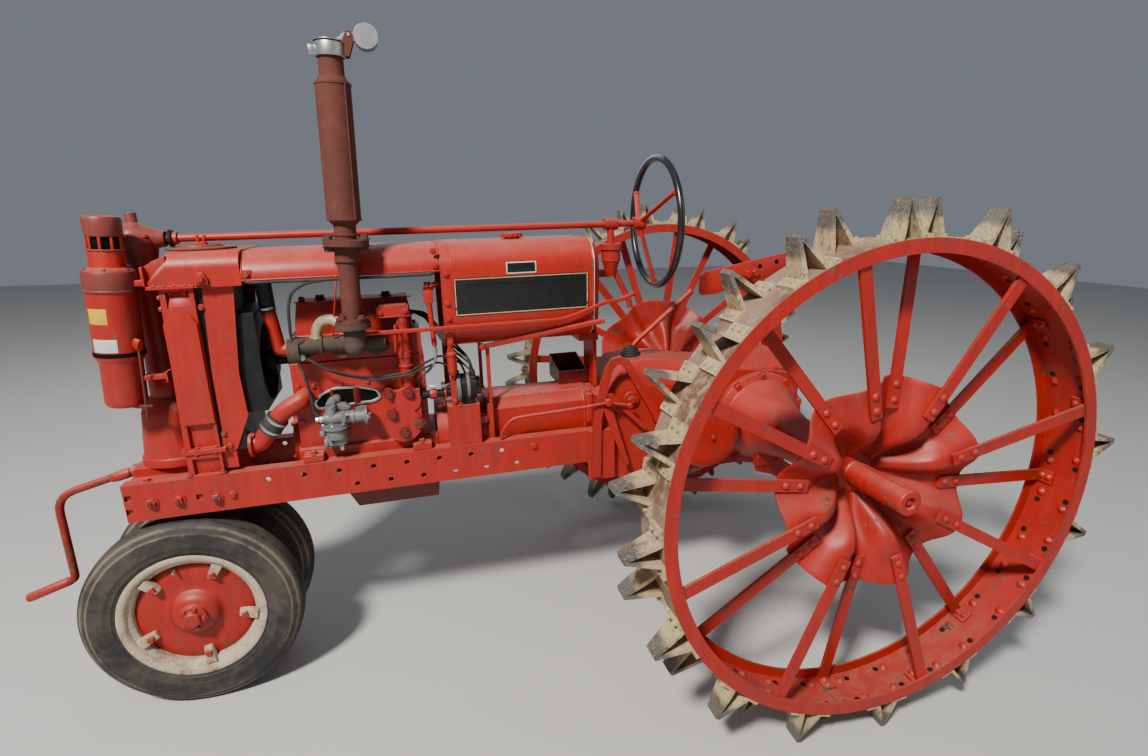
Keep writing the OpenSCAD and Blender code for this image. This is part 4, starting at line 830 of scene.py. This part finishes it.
form = Form("radiatorNeck")
form.lathe([(0, 682.3), (90, 682.3), (93, 683.5), (94, 685), (94, 688), (92, 689.5), (66, 690.5), (62.5, 691.5),
            (61.5, 694.5), (59, 696.5), (55, 697), (0, 697)], (1798, 0, 0), up, 0, 72)
form.done([canRed], replaces=("radiator_cap",))

hood = {"front": 1669, "rear": 1123, "shoulder": (92, 596, 82), "low": 600, "sheet": 2.5, "crown": 2}


def hoodOutline(shrink):
    y, z, r = hood["shoulder"]
    r -= shrink
    start = math.degrees(math.asin((hood["low"] - z) / r))
    half = circle(r, [start + (90 - start) * i / 14 for i in range(15)], (y, z))
    half += [(46, z + r + hood["crown"] * 0.75), (0, z + r + hood["crown"])]
    return half + [(-a, b) for a, b in reversed(half[:-1])]


form = Form("hoodSheet")
stations = [hood["rear"] + (hood["front"] - hood["rear"]) * i / 12 for i in range(13)]
sheets = ([[(x, y, z) for y, z in hoodOutline(shrink)] for x in stations] for shrink in (0, hood["sheet"]))
form.shell(*sheets, loop=False)
form.done([redSheet], replaces=("hood",), sharp=40)
form = Form("hoodSeams")
for x, size in ((1666, 1.7), (1129, 1.4)):
    form.tube([(x, y, z) for y, z in hoodOutline(-0.6)], size, 0, 8, bend=1)
for sign in (1, -1):
    form.block((1640, sign * 168, 600), (1664, sign * 172, 628))
form.done([redWorn])

# Ears at the header's front corners and the red webs seen through the posts' windows
form = Form("headerEars")
for sign in (1, -1):
    form.prism([(1850, 600), (1886, 600), (1886, 661), (1850, 675)], sign * 106, sign * 165)
    form.prism([(1884, 600), (1913, 600), (1913, 646), (1884, 662)], sign * 106, sign * 150)
    form.prism([(1908, 596), (1915, 596), (1915, 648), (1908, 650)], sign * 106, sign * 168)
    form.prism([(1803, 33), (1884, 33), (1869, 577), (1803, 577)], sign * 145, sign * 147.5)
    form.put([(x, sign * y, z) for y, z in ((147, 562), (147, 531), (159, 531)) for x in (1806, 1866)],
             ((0, 1, 3, 2), (0, 4, 5, 1), (2, 3, 5, 4), (0, 2, 4), (1, 5, 3)))
form.done([redPaint], 0.0015)
fasten("earBolts", "small", {up: [(1897, 157, 600.5)]}, both=True)

waterPipes = {
    "lower": (((1728.7, 120, 100), (1700, 120, 100), (1622, 134, 198), (1560, 134, 230), (1560, 105.3, 230)), 27.5),
    "upper": (((1590.3, 60, 372), (1618, 60, 372), (1634, 60, 500), (1638, 60, 624), (1670, 60, 624)), 20.5),
    "flange": (1728.7, 120, 100),
}
form = Form("waterPipes")
for run in ("lower", "upper"):
    form.tube(*waterPipes[run], 0, 32, bend=1.25)
form.lathe([(0, 0), (38, 0), (40, 1.5), (40, 9), (38, 10.5), (0, 10.5)], waterPipes["flange"], behind, 0, 48)
form.done([redPaint], replaces=("water_pipes",))
fasten("elbowBolts", "small", {behind: [(1718.2, *p) for p in circle(34, (65, 245), waterPipes["flange"][1:])]})
hoses = {"lower": {"path": ((1700, 120, 100), (1622, 134, 198)), "radius": 33, "share": (0.38, 0.82)},
         "upper": {"path": ((1634.3, 60, 490), (1637.4, 60, 604)), "radius": 23, "share": (0.03, 0.97)}}
for name, facts in hoses.items():
    first, last = (Vector(p) for p in facts["path"])
    start, end = (first.lerp(last, s) for s in facts["share"])
    along, length, r = (end - start).normalized(), (end - start).length, facts["radius"]
    form = Form("hose_" + name)
    form.lathe([(r - 4, 0), (r, 1.5), (r, length - 1.5), (r - 4, length)], start, along, 0, 40)
    for place in (7, length - 15):
        form.collar(r - 1, r + 1.6, place, place + 9, start, along, 1, 40, 0.6)
        across = along.cross(Vector(left)).normalized()
        spot = start + along * (place + 4.5) + (along.cross(across) if name == "lower" else Vector(left)) * (r + 4)
        form.tube([spot - across * 13, spot + across * 9], 5.2, 1, 10)
    form.done([blackRubber, zincPlate], 0.0006)

# In X and Z: the jaw's rod, the bent bar and the grip
crank = {"rod": ((2052, 12), (2102, 12)), "bar": ((2094, 12), (2116, 12), (2316, -42), (2321, -325), (2352, -334.7)),
         "thick": 11.8, "bend": 4.6, "grip": ((2331, -328), (2458.8, -368.9)), "gripThick": 12.8}
form = Form("startingCrank")
form.tube([(x, 0, z) for x, z in crank["rod"]], 9.8, 0, 16)
form.tube([(x, 0, z) for x, z in crank["bar"]], crank["thick"], 0, 20, bend=crank["bend"])
start, end = (Vector((x, 0, z)) for x, z in crank["grip"])
long, thick = (end - start).length, crank["gripThick"]
form.lathe([(0, 0), (thick - 2, 0), (thick, 2), (thick, long - 2), (thick - 2, long), (0, long)], start, end - start,
           0, 28)
form.done([crankRed], replaces=("starting_crank",))
form = Form("crankSleeve")
form.lathe([(11, 0), (15, 3), (16.5, 14), (16, 40), (13.5, 56), (11, 62)], (2104, 0, 11.5), (214, 0, -54), 0, 24)
form.lathe([(13, 0), (14.2, 2), (14.2, 120), (13, 122)], (2337, 0, -329.6), (128, 0, -41), 0, 24)
form.done([redPaint], 0.001)

print("detailing the engine")
# nuts and bolts on the head, cover, pan and governor take the dark red: grime plus painted shade
engineBolts = {
    "headNuts": ("cap", {up: [(x, 90, 405) for x in range(1212, 1580, 59)]}, redDark, True),
    "coverNuts": ("large", {up: [(1290, 0, 515), (1490, 0, 515)]}, redDark, False),
    "blockBolts": ("small", {left: [(x, 105, z) for x in (1212, 1290, 1370, 1450, 1530, 1575) for z in (150, 262)]},
                   redWorn, True),
    "panBolts": ("small", {down: [(x, 96, -78.5) for x in range(1190, 1470, 46)]}, redDark, True),
    "timingBolts": ("small", {ahead: [(1612, *p) for p in circle(80, range(15, 375, 40), (0, 60))]}, redWorn, False),
}
for name, (kind, places, finish, both) in engineBolts.items():
    fasten(name, kind, places, finish, both=both)

# the valve cover's caps take the dark red: grime plus painted shade
form = Form("valveCoverCaps")
form.lathe([(0, 513), (20, 513), (20, 520), (24, 521), (24, 536), (21, 540), (0, 541)], (1405, 0, 0), up, 0, 28)
form.lathe([(0, 513), (9, 513), (9, 526), (6, 529), (0, 529)], (1540, 32, 0), up, 0, 16)
form.prism([(1212, 506), (1568, 506), (1568, 509), (1212, 509)], -3, 3)
form.done([redDark], 0.001, "dark_red_paint")

# Manifold: flanges at the ports, joint rings, and the pale elbow to the stack's foot
manifold = {"side": 151, "height": 398, "ports": (1330, 1430, 1545), "portHeight": 372, "joints": (1372, 1484, 1552)}
form = Form("manifoldDetail")
for x in manifold["ports"]:
    oval = circle(1, range(0, 360, 24))
    oval = [(x + 33 * c * (1.15 if abs(c) > 0.7 else 1), manifold["portHeight"] + 24 * s) for c, s in oval]
    form.prism(oval, 101.2, 109)
for x in manifold["joints"]:
    form.lathe([(23, -6), (28, -5), (29, -3), (29, 3), (28, 5), (23, 6)], (x, manifold["side"], manifold["height"]),
               ahead, closed=True)
form.lathe([(20, -14), (26, -12), (26, -3), (20, 0)], (1546, manifold["side"], 422), up, 0, 20)
form.tube([(1497, 153, 412), (1493, 156, 446), (1476, 160, 470), (1448, 172, 476), (1426, 186, 466)], 15.5, 1, 20,
          bend=1.6)
form.collar(15, 19, 0, 9, (1497, 153, 418), (-0.1, 0.1, 1), 1, 24)
form.done([manifoldIron, elbowBrass], 0.0012, "rusty_iron")
fasten("manifoldNuts", "small", {left: [(x + s, 109, manifold["portHeight"]) for x in manifold["ports"]
                                        for s in (-27, 27)]},
       exhaustRust)
fasten("stackFootBolts", "cap", {up: [(*p, 480.4) for p in circle(38, evenly(4, 45), (1385, 207))]}, exhaustRust)

# Exhaust stack: its own line leans back from the foot
stack = {"foot": (1385, 207, 466.3), "lean": 1.8, "length": 741.7}


def stackDetail(facts):
    foot, length = Vector(facts["foot"]), facts["length"]
    way = Vector((-math.sin(math.radians(facts["lean"])), 0, math.cos(math.radians(facts["lean"]))))

    def beside(along, x, y=0):
        return foot + way * along + Vector((x, y, 0))

    form = Form("stackBand")
    form.collar(36.5, 38.6, length - 37, length - 2.5, foot, way, 0, 48, 0.5)
    form.tube([beside(length - 20, 36, 8), beside(length - 20, 52, 10)], 7, 0, 10, ratio=(0.5, 1.8))
    form.done([zincPlate], 0.0006, "galvanised_steel")
    form = Form("stackSeams")
    for along, r in ((292, 46), (length - 102, 46), (214, 35), (250, 31)):
        form.collar(r - 1, r + 1.6, along - 3, along + 3, foot, way, 0, 48)
    form.tube([beside(290, -32, 33.6), beside(length - 102, -32, 33.6)], 2.2, 0, 8)
    form.done([exhaustRust], 0, "rusty_iron")
    for name, along, facing in (("stackBolts", 236, way), ("stackNuts", 219, -way)):
        fasten(name, "large", [(beside(along, s * 47), facing) for s in (-1, 1)], manifoldIron)


stackDetail(stack)

# Governor plate, breather and the oil filler on the riser
fasten("governorBolts", "large", {left: [(1247, 156, 223), (1303, 156, 158), (1270, 156, 94), (1222, 156, 120),
                                         (1308, 152, 224)]}, redDark)
fasten("breatherBolts", "small", {left: [(1236, 150, 482), (1309, 150, 482)]})
form = Form("breatherDetail")
form.prism([(1222, 465), (1323, 465), (1323, 469), (1222, 469)], 78, 152)
form.prism([(1228, 496), (1317, 496), (1312, 501), (1233, 501)], 86, 144)
form.collar(19.5, 22, -3, 6, (1247, 130, 306), up, 0, 28)
form.tube([(1267, 172, 446), (1269, 174, 400), (1272, 174, 362)], 5.5, 0, 10, ratio=(1.5, 0.7))
form.tube([(1267, 182, 428), (1267, 150, 440)], 4, 0, 10)
form.done([redPaint], 0.001)

# Carburettor: cover screws, throttle and choke shafts with their arms, drain plug and fuel elbow
carburettor = {"at": (1475, 155), "cover": 150, "screws": 36}


def carburettorDetail(facts):
    x, y = facts["at"]
    form = Form("carburettorDetail")
    form.collar(40.5, 42, 136, 141, (x, y, 0), up, 0, 36)
    form.tube([(x - 30, 118, 166), (x - 30, 196, 166)], 5)
    form.prism([(x - 38, 160), (x - 22, 160), (x - 24, 196), (x - 34, 198)], 188, 192)
    form.tube([(x + 14, 126, 92), (x + 14, 188, 92)], 4)
    form.prism([(x + 8, 88), (x + 20, 88), (x + 32, 118), (x + 24, 122)], 182, 186)
    form.lathe([(0, 0), (11, 0), (11, 14), (8, 18), (8, 26), (0, 26)], (x + 28, y, 166), ahead, 1, 6)
    form.lathe([(0, -4), (9, -4), (9, 10), (0, 10)], (x + 36, y + 18, 128), (1, 0.4, 0), 1, 6)
    form.lathe([(0, 0), (8, 0), (8, 22), (5, 26), (0, 26)], (x - 12, y, 84), down, 1, 6)
    form.collar(19, 21.5, 0, 11, (x - 60, y, 166), ahead, 0, 28)
    form.collar(17.5, 21, 0, 9, (x + 26, y, 92), ahead, 0, 28)
    form.prism([(x - 44, 186), (x + 8, 186), (x + 22, 204), (x + 8, 210), (x - 34, 208), (x - 50, 196)], 128, 148)
    form.tube([(x + 8, y, 206), (x + 2, y - 22, 214), (x - 8, 128, 214), (x - 8, 106, 214)], 15, 0, 18, bend=1.2)
    form.done([greyIron, zincPlate], 0.001, "grey_iron")
    screws = [(*p, facts["cover"]) for p in circle(facts["screws"], evenly(6, 20), (x, y))]
    fasten("carburettorScrews", "pin", {up: screws}, zincPlate)
    fasten("carburettorBolts", "small", {behind: [(x - 98, y + s, 166) for s in (-22, 22)]}, zincPlate)


carburettorDetail(carburettor)

form = Form("sideOpening")
opening = [(1532, 206), (1510, 232), (1467, 248), (1396, 245), (1345, 231), (1334, 206), (1358, 194), (1407, 193),
           (1474, 187), (1521, 186)]
# a near-black sheet filling the opening: painted shade for its dark inside
form.prism(opening, 104.8, 106.4, 1)
ring = [Vector((x, 107.5, z)) for x, z in opening]
middle = ring[0].lerp(ring[1], 0.5)
form.tube([middle] + ring[1:] + [ring[0], middle], 3.6, 0, 10, ratio=(1, 1.3))
form.tube([(1478, 107, 188), (1478, 109, 246)], 6, 2, 10)
form.tube([(1402, 107, 195), (1402, 109, 244)], 13, 2, ratio=(1.3, 0.5))
form.done([zincPlate, coreBlack, redDark], 0, "galvanised_steel")

# Magneto with its pale cover, towers and spark wires, and the plugs on the far side of the head
magneto = {"at": (128, 222), "cover": 1086, "rear": 1034, "towers": (50, 77, 104, 131),
           "plugs": (1240, 1330, 1430, 1545), "plugSide": -101, "plugHeight": 380}


def magnetoDetail(facts):
    at, rear, side, height = facts["at"], facts["rear"], facts["plugSide"], facts["plugHeight"]
    form, wires, plugs = Form("magnetoDetail"), Form("sparkWires"), Form("sparkPlugs")
    form.lathe([(0, 14), (30, 14), (40, 12.5), (50.5, 11), (51.2, 6), (50.8, -1), (45, -2), (43, -2)],
               (facts["cover"], *at), ahead, 1, 56)
    form.lathe([(0, -16), (26, -16), (30, -12), (30, -1), (38, 0), (38, 2), (0, 2)], (rear, *at), ahead, 0, 36)
    form.collar(42.2, 43.6, 20, 31, (rear, *at), ahead, 1, 56)
    for i, (turn, x) in enumerate(zip(facts["towers"], facts["plugs"])):
        low, high, end = ((rear + 8, *circle(r, (turn,), at)[0]) for r in (30, 52, 50))
        form.tube([low, high], 8)
        start, step = Vector(end), 9 * i
        (y, z), = circle(14, (turn,))
        wires.tube([start, start + Vector((4, y, 16 + step)), (1104 - step / 2, 92 - step, 330 + step),
                    (1172, 10 - step, 436 + step / 2), (1206 + step, -96, 440 + step / 3),
                    (x - 10, side - 24 - step / 3, 418 + step / 3), (x, side - 42, height + 6),
                    (x, side - 34, height)], 3.8, 0, 8, bend=5)
        plugs.lathe([(0, -2), (13, -2), (13, 8), (7.5, 9), (7.5, 24), (6, 30), (3, 31), (3, 38), (0, 38)],
                    (x, side, height), right, 0, 6)
        plugs.lathe([(7, 8), (8, 9), (8, 20), (6, 29), (4, 30)], (x, side, height), right, 1, 20)
    form.tube([(1130, 128, 205), (1136, 128, 205)], 19, 2, 20)
    form.tube([(1160, 128, 205), (1182, 128, 205)], 17, 2, 20)
    form.done([blackGloss, magnetoGrey, redPaint], 0.0008, "black_paint")
    wires.done([blackRubber], 0, "black_paint")
    plugs.done([greyIron, labelWhite], 0.0004, "grey_iron")


magnetoDetail(magneto)

# Fixed fuel line, cables and control rods; each is held at both ends
lines = {
    "fuelPipe": ("red_paint", redPaint, 8.5, ((1128, 128, 560), (1150, 132, 552), (1162, 138, 520), (1160, 140, 470),
                                              (1155, 140, 366))),
    "fuelHose": ("black_rubber", greyIron, 4.6, (
        (1155, 140, 372), (1151, 140, 344), (1158, 140, 312), (1180, 134, 284), (1194, 118, 272), (1196, 100, 270))),
    "throttleRod": ("red_paint", redPaint, 5.2, (
        (1362, 182, 426), (755, 182, 426), (690, 182, 442), (600, 182, 474), (541, 184, 480), (508, 186, 494),
        (492, 176, 496), (508, 166, 490), (545, 172, 480))),
    "edgeCable": ("black_rubber", blackRubber, 4.5, (
        (1664, 166, 606), (1655, 178, 594), (1545, 179, 593), (1440, 179, 592), (1300, 179, 592), (1150, 179, 592),
        (1136, 168, 600))),
    "dropCable": ("black_rubber", blackRubber, 4.5, (
        (1392, 176, 594), (1440, 178, 592), (1505, 178, 585), (1544, 178, 562), (1558, 177, 519), (1563, 172, 440),
        (1561, 168, 400), (1548, 165, 345), (1534, 161, 260), (1530, 158, 190), (1512, 156, 166))),
    "chokeRod": ("red_paint", redPaint, 2.6, ((1420, 172, 604), (1422, 184, 571), (1434, 184, 500), (1446, 182, 440),
                                              (1448, 172, 424))),
    "wireLow": ("black_rubber", blackRubber, 3.6, (
        (1543, 156, 362), (1525, 158, 356), (1490, 156, 326), (1441, 152, 300), (1352, 150, 274), (1240, 172, 286),
        (1188, 150, 300), (1150, 130, 310), (1100, 128, 286), (1086, 128, 270))),
    "wireHigh": ("black_rubber", blackRubber, 3.6, (
        (1543, 158, 368), (1515, 160, 350), (1470, 158, 318), (1400, 154, 292), (1330, 151, 282), (1240, 170, 294),
        (1196, 150, 312), (1140, 126, 330), (1078, 120, 300), (1064, 124, 262))),
    "shortWire": ("grey_iron", zincPlate, 3.4, ((1196, 112, 243), (1190, 138, 238), (1160, 148, 232), (1128, 146, 234),
                                                (1112, 134, 236))),
    "tankRod": ("red_paint", redPaint, 7, ((1004, 122, 345), (604, 184, 414))),
    "railRod": ("red_paint", redPaint, 5.5, (
        (962, 150, 29), (958, 152, 60), (923, 158, 102), (800, 172, 112), (661, 194, 126), (600, 196, 133),
        (520, 196, 113))),
}
for name, (slot, finish, radius, path) in lines.items():
    form = Form(name)
    form.tube(path, radius, bend=4, ratio=(0.55, 1.25) if name in ("throttleRod", "tankRod") else (1, 1))
    form.done([finish], 0, slot)
form = Form("rodKnuckles")
for face, r, half, flat, at in ((9, 11, 12, 8, (1003, 122, 345)), (12, 14, 11, 7, (598, 196, 133)),
                                (10, 12, 10, 6, (1362, 182, 426)), (8, 9, 8, 5, (520, 196, 113))):
    form.lathe([(0, -half), (face, -half), (r, -flat), (r, flat), (face, half), (0, half)], at, left, 0, 20)
form.block((1148, 112, 500), (1176, 148, 540))
form.lathe([(0, 0), (13, 0), (13, 10), (10, 14), (10, 26), (0, 26)], (1162, 130, 538), up, 0, 16)
form.collar(16, 17.5, 0, 10, (1107, 168, 334), up, 0, 28)
form.lathe([(0, -20), (8, -20), (13, -12), (15, -4), (15, 2), (0, 2)], (1107, 168, 288), up, 0, 28)
form.done([redPaint], 0.001)
form = Form("cupStem")
form.tube([(519, 0, 592), (516, 0, 574), (452, 0, 448), (446, 0, 420)], 11, 0, 14)
form.done([redPaint])
form = Form("plugKnob")
form.lathe([(0, -8), (9, -6), (11, 0), (9, 6), (0, 8)], (1543, 160, 365), left, 0, 20)
form.done([labelWhite], 0, "galvanised_steel")

print("detailing the tank and the rear")
tank = {"upper": (92, 596, 84), "lower": (76, 442, 90), "seam": 632, "cap": (868, 676),
        "panels": (((655, 1085, 457, 575), 2.5, 2.6, 1), ((826, 921, 581, 617), 0, 3.4, 2))}
(upperY, upperZ, upperR), (lowerY, lowerZ, lowerR) = tank["upper"], tank["lower"]


def tankSide(z):
    # half width of the tank at a height
    if z > upperZ:
        return upperY + math.sqrt(max(0, upperR ** 2 - (z - upperZ) ** 2))
    if z < lowerZ:
        return lowerY + math.sqrt(max(0, lowerR ** 2 - (z - lowerZ) ** 2))
    share = (z - lowerZ) / (upperZ - lowerZ)
    return (lowerY + lowerR) * (1 - share) + (upperY + upperR) * share


plateFaces = ((0, 1, 2, 3), (4, 7, 6, 5), (0, 4, 5, 1), (3, 2, 6, 7), (1, 5, 6, 2), (0, 3, 7, 4))


def sidePlate(form, x0, x1, z0, z1, r, sign, lift, thick, slot):
    # a thin plate on the tank's side, round at the corners
    rows = []
    for i in range(17):
        z = z0 + (z1 - z0) * i / 16
        near = min(z - z0, z1 - z)
        inset = r - math.sqrt(max(0, r * r - (r - near) ** 2)) if near < r else 0
        rows.append((x0 + inset, x1 - inset, z))
    for (a, b, z), (c, d, w) in zip(rows, rows[1:]):
        ends = ((a, z), (b, z), (d, w), (c, w))
        corners = [(x, sign * (tankSide(v) + h), v) for h in (lift, lift + thick) for x, v in ends]
        form.put(corners, plateFaces, slot)


for side, sign in (("left", 1), ("right", -1)):
    form = Form("namePanel_" + side)
    for (x0, x1, z0, z1), inset, border, slot in tank["panels"]:
        sidePlate(form, x0, x1, z0, z1, 6, sign, 0.2, 1.0, 0)
        x0, x1, z0, z1 = x0 + inset, x1 - inset, z0 + inset, z1 - inset
        for edge in ((x0, x1, z0, z0 + border), (x0, x1, z1 - border, z1), (x0, x0 + border, z0, z1),
                     (x1 - border, x1, z0, z1)):
            sidePlate(form, *edge, 0.1, sign, 1.1, 0.5, slot)
    form.done([nameBlack, goldLine, labelWhite], 0, "black_paint")
form = Form("tankSeams")
turns = [7.5 * i for i in range(13)]
above, below = circle(upperR, turns, (upperY, upperZ)), circle(lowerR, [-t for t in turns], (lowerY, lowerZ))
outline = above + [(-y, z) for y, z in above[::-1]] + [(-y, z) for y, z in below] + below[::-1]
for x, r, slot, shrink in ((tank["seam"] + 7, 2.6, 0, 1), (tank["seam"] + 2, 1.6, 1, 0.992)):
    path = [Vector((x, y * shrink, 520 + (z - 520) * shrink)) for y, z in outline]
    middle = path[-1].lerp(path[0], 0.5)
    form.tube([middle] + path + [middle], r, slot, 8, bend=1)
form.done([redWorn, labelWhite])
x, z = tank["cap"]
form = Form("tankCapGrip")
for spot in circle(1, evenly(14)):
    form.tube([Vector((x, 0, z + h)) + Vector((*spot, 0)) * 35.5 for h in (9, 17)], 4, 0, 8)
form.lathe([(0, 20), (13, 20), (13, 20.8), (11, 21.6), (0, 21.6)], (x, 0, z), up, 0, 20)
form.done([redWorn], 0.0006)
fasten("hoopBolts", "small", {left: [(1107, tankSide(z) + 0.2, z) for z in (590, 500, 452)]}, both=True)
fasten("legBolts", "small", {left: [(1107, 158, z) for z in (372, 404, 182)]}, both=True)

form = Form("seatBar")
form.prism([(120, 452), (175, 452), (184, 464), (183, 524), (162, 536), (-40, 570), (-250, 604), (-250, 522),
            (-20, 490)], 16, 28)
form.prism([(-80, 237), (20, 237), (20, 249), (-6, 257), (30, 500), (30, 520), (-50, 536), (-60, 257), (-80, 249)], 4,
           15.7)
form.done([redPaint], 0.0015, replaces=("seat_bar",))
fasten("seatBarBolts", "large", {left: [(-8, 28, 518), (-40, 28, 524)]})
# flat near-black discs on the bar: painted shade standing for its holes
seatHoles = {left: (28, (-200, -130, -60, 60)), right: (16, (-200, -130, 60))}
fasten("seatBarHoles", "hole", {way: [(x, y, 534 - x * 0.2) for x in row] for way, (y, row) in seatHoles.items()},
       coreBlack)

form = Form("gearLever")
form.lathe([(0, 245), (38, 245), (38, 250), (33, 252), (34, 257), (29, 260), (30, 265), (25, 268), (25, 272),
            (18, 278), (11, 281), (0, 281)], (446, 0, 0), up, 1)
form.tube([(446, 0, 262), (424, 0, 290), (216, 0, 457)], 9, 0, 16, bend=2)
form.lathe([(0, -6), (9, -6), (11.5, 0), (12, 8), (10, 15), (0, 18)], (214, 0, 458), (-0.77, 0, 0.64), 0, 20)
form.done([redPaint, blackRubber], replaces=("gear_lever",))

flange = {"ring": 163, "face": 176.3, "count": 10}
flangeTurns = evenly(flange["count"], 180 / flange["count"])
flangeBolts = [(x, flange["face"], z) for x, z in circle(flange["ring"], flangeTurns)]
caseBolts = {
    "large": {left: flangeBolts + [(500, 157, 122), (1015, 119.7, 101), (1015, 119.7, 20)]},
    "cap": {up: [(x, 117, 172) for x in range(-132, 140, 44)] + [(990, 100, 148), (640, 100, 148)],
            left: [(30, 266, -92), (-30, 266, -128), (600, 164.5, -60), (600, 164.5, 10)]},
    "small": {left: [(270, 325, 10)]},
}
for kind, places in caseBolts.items():
    fasten("caseBolts_" + kind, kind, places, both=True)

form = Form("rearCover")
form.lathe([(0, 0), (84, 0), (84, 9), (80, 12), (40, 12), (36, 26), (30, 30), (18, 31), (18, 74), (15, 77), (0, 77)],
           (-174.5, 0, 15), behind, 0, 56)
for spot in circle(15.95, evenly(6), (0, 15)):
    form.tube([(-206, *spot), (-250, *spot)], 3.6, 1, 8)
for sign in (1, -1):
    out = (0, sign, 0)
    form.collar(66.2, 69, 628, 639, centre, out, 0, 56)
    form.lathe([(66, 560), (72, 562), (74, 600), (72, 604), (66, 606)], centre, out, 0, 56, closed=True)
    form.lathe([(26.5, 156.8), (28.5, 158), (28.5, 160), (20, 160.4), (18, 158), (18, 156.8)], (500, 0, 122), out, 0,
               36, closed=True)
    form.prism([(-150, 172), (-120, 164), (130, 164), (138, 172), (138, 178), (-150, 178)], sign * 108, sign * 126)
form.done([redPaint, greyIron], 0.0015)
fasten("rearCoverBolts", "cap", {behind: [(-186.5, *p) for p in circle(66, evenly(8, 22.5), (0, 15))]})

print("setting the studio")
lamps = {
    "key": {"at": (3.4, 4.3, 6.2), "size": 0.9, "power": 1150, "colour": (1.0, 0.96, 0.90)},
    "fill": {"at": (-5.0, 3.0, 3.0), "size": 4.0, "power": 50, "colour": (0.92, 0.96, 1.0)},
    "back": {"at": (0.0, -5.0, 4.0), "size": 4.0, "power": 60, "colour": (1.0, 1.0, 1.0)},
}


def studio(floorSize=14):
    mesh = bpy.data.meshes.new("floor")
    bm = bmesh.new()
    bmesh.ops.create_grid(bm, x_segments=2, y_segments=2, size=floorSize)
    bm.to_mesh(mesh)
    bm.free()
    shop = Shop("floorGrey")
    added("floor", mesh, [shop.finish((0.47, 0.47, 0.455), 0.9 + (shop.noise(2) - 0.5) * 0.05)])
    world = bpy.data.worlds.new("softSky")
    world.use_nodes = True
    for socket, value in zip(world.node_tree.nodes["Background"].inputs, ((0.80, 0.87, 1.0, 1), 0.22)):
        socket.default_value = value
    bpy.context.scene.world = world
    for name, facts in lamps.items():
        lamp = bpy.data.lights.new(name, "AREA")
        lamp.size, lamp.energy, lamp.color = facts["size"], facts["power"], facts["colour"]
        obj = added(name, lamp)
        obj.location = facts["at"]
        obj.rotation_euler = (Vector((0, 0, 0.7)) - Vector(facts["at"])).to_track_quat("-Z", "Y").to_euler()


def photoCamera():
    view = {"at": (1244.7, 2122.8, 779.2), "yaw": -105.31, "pitch": -15.34, "roll": -1.41, "lens": 19.65}
    yaw, pitch, roll = (math.radians(view[k]) for k in ("yaw", "pitch", "roll"))
    sight = Vector((math.cos(pitch) * math.cos(yaw), math.cos(pitch) * math.sin(yaw), math.sin(pitch)))
    flat = Vector((math.sin(yaw), -math.cos(yaw), 0))
    lift = flat.cross(sight)
    across, rise = math.cos(roll) * flat + math.sin(roll) * lift, math.cos(roll) * lift - math.sin(roll) * flat
    turn = stance.to_3x3().normalized()
    axes = Matrix((turn @ across, turn @ rise, turn @ -sight)).transposed()
    lens = bpy.data.cameras.new("photoCamera")
    lens.lens, lens.sensor_width, lens.clip_end = view["lens"], 36, 60
    camera = added("photoCamera", lens)
    camera.matrix_world = Matrix.Translation(stance @ Vector(view["at"])) @ axes.to_4x4()
    bpy.context.scene.camera = camera


studio()
photoCamera()
bpy.context.view_layer.update()
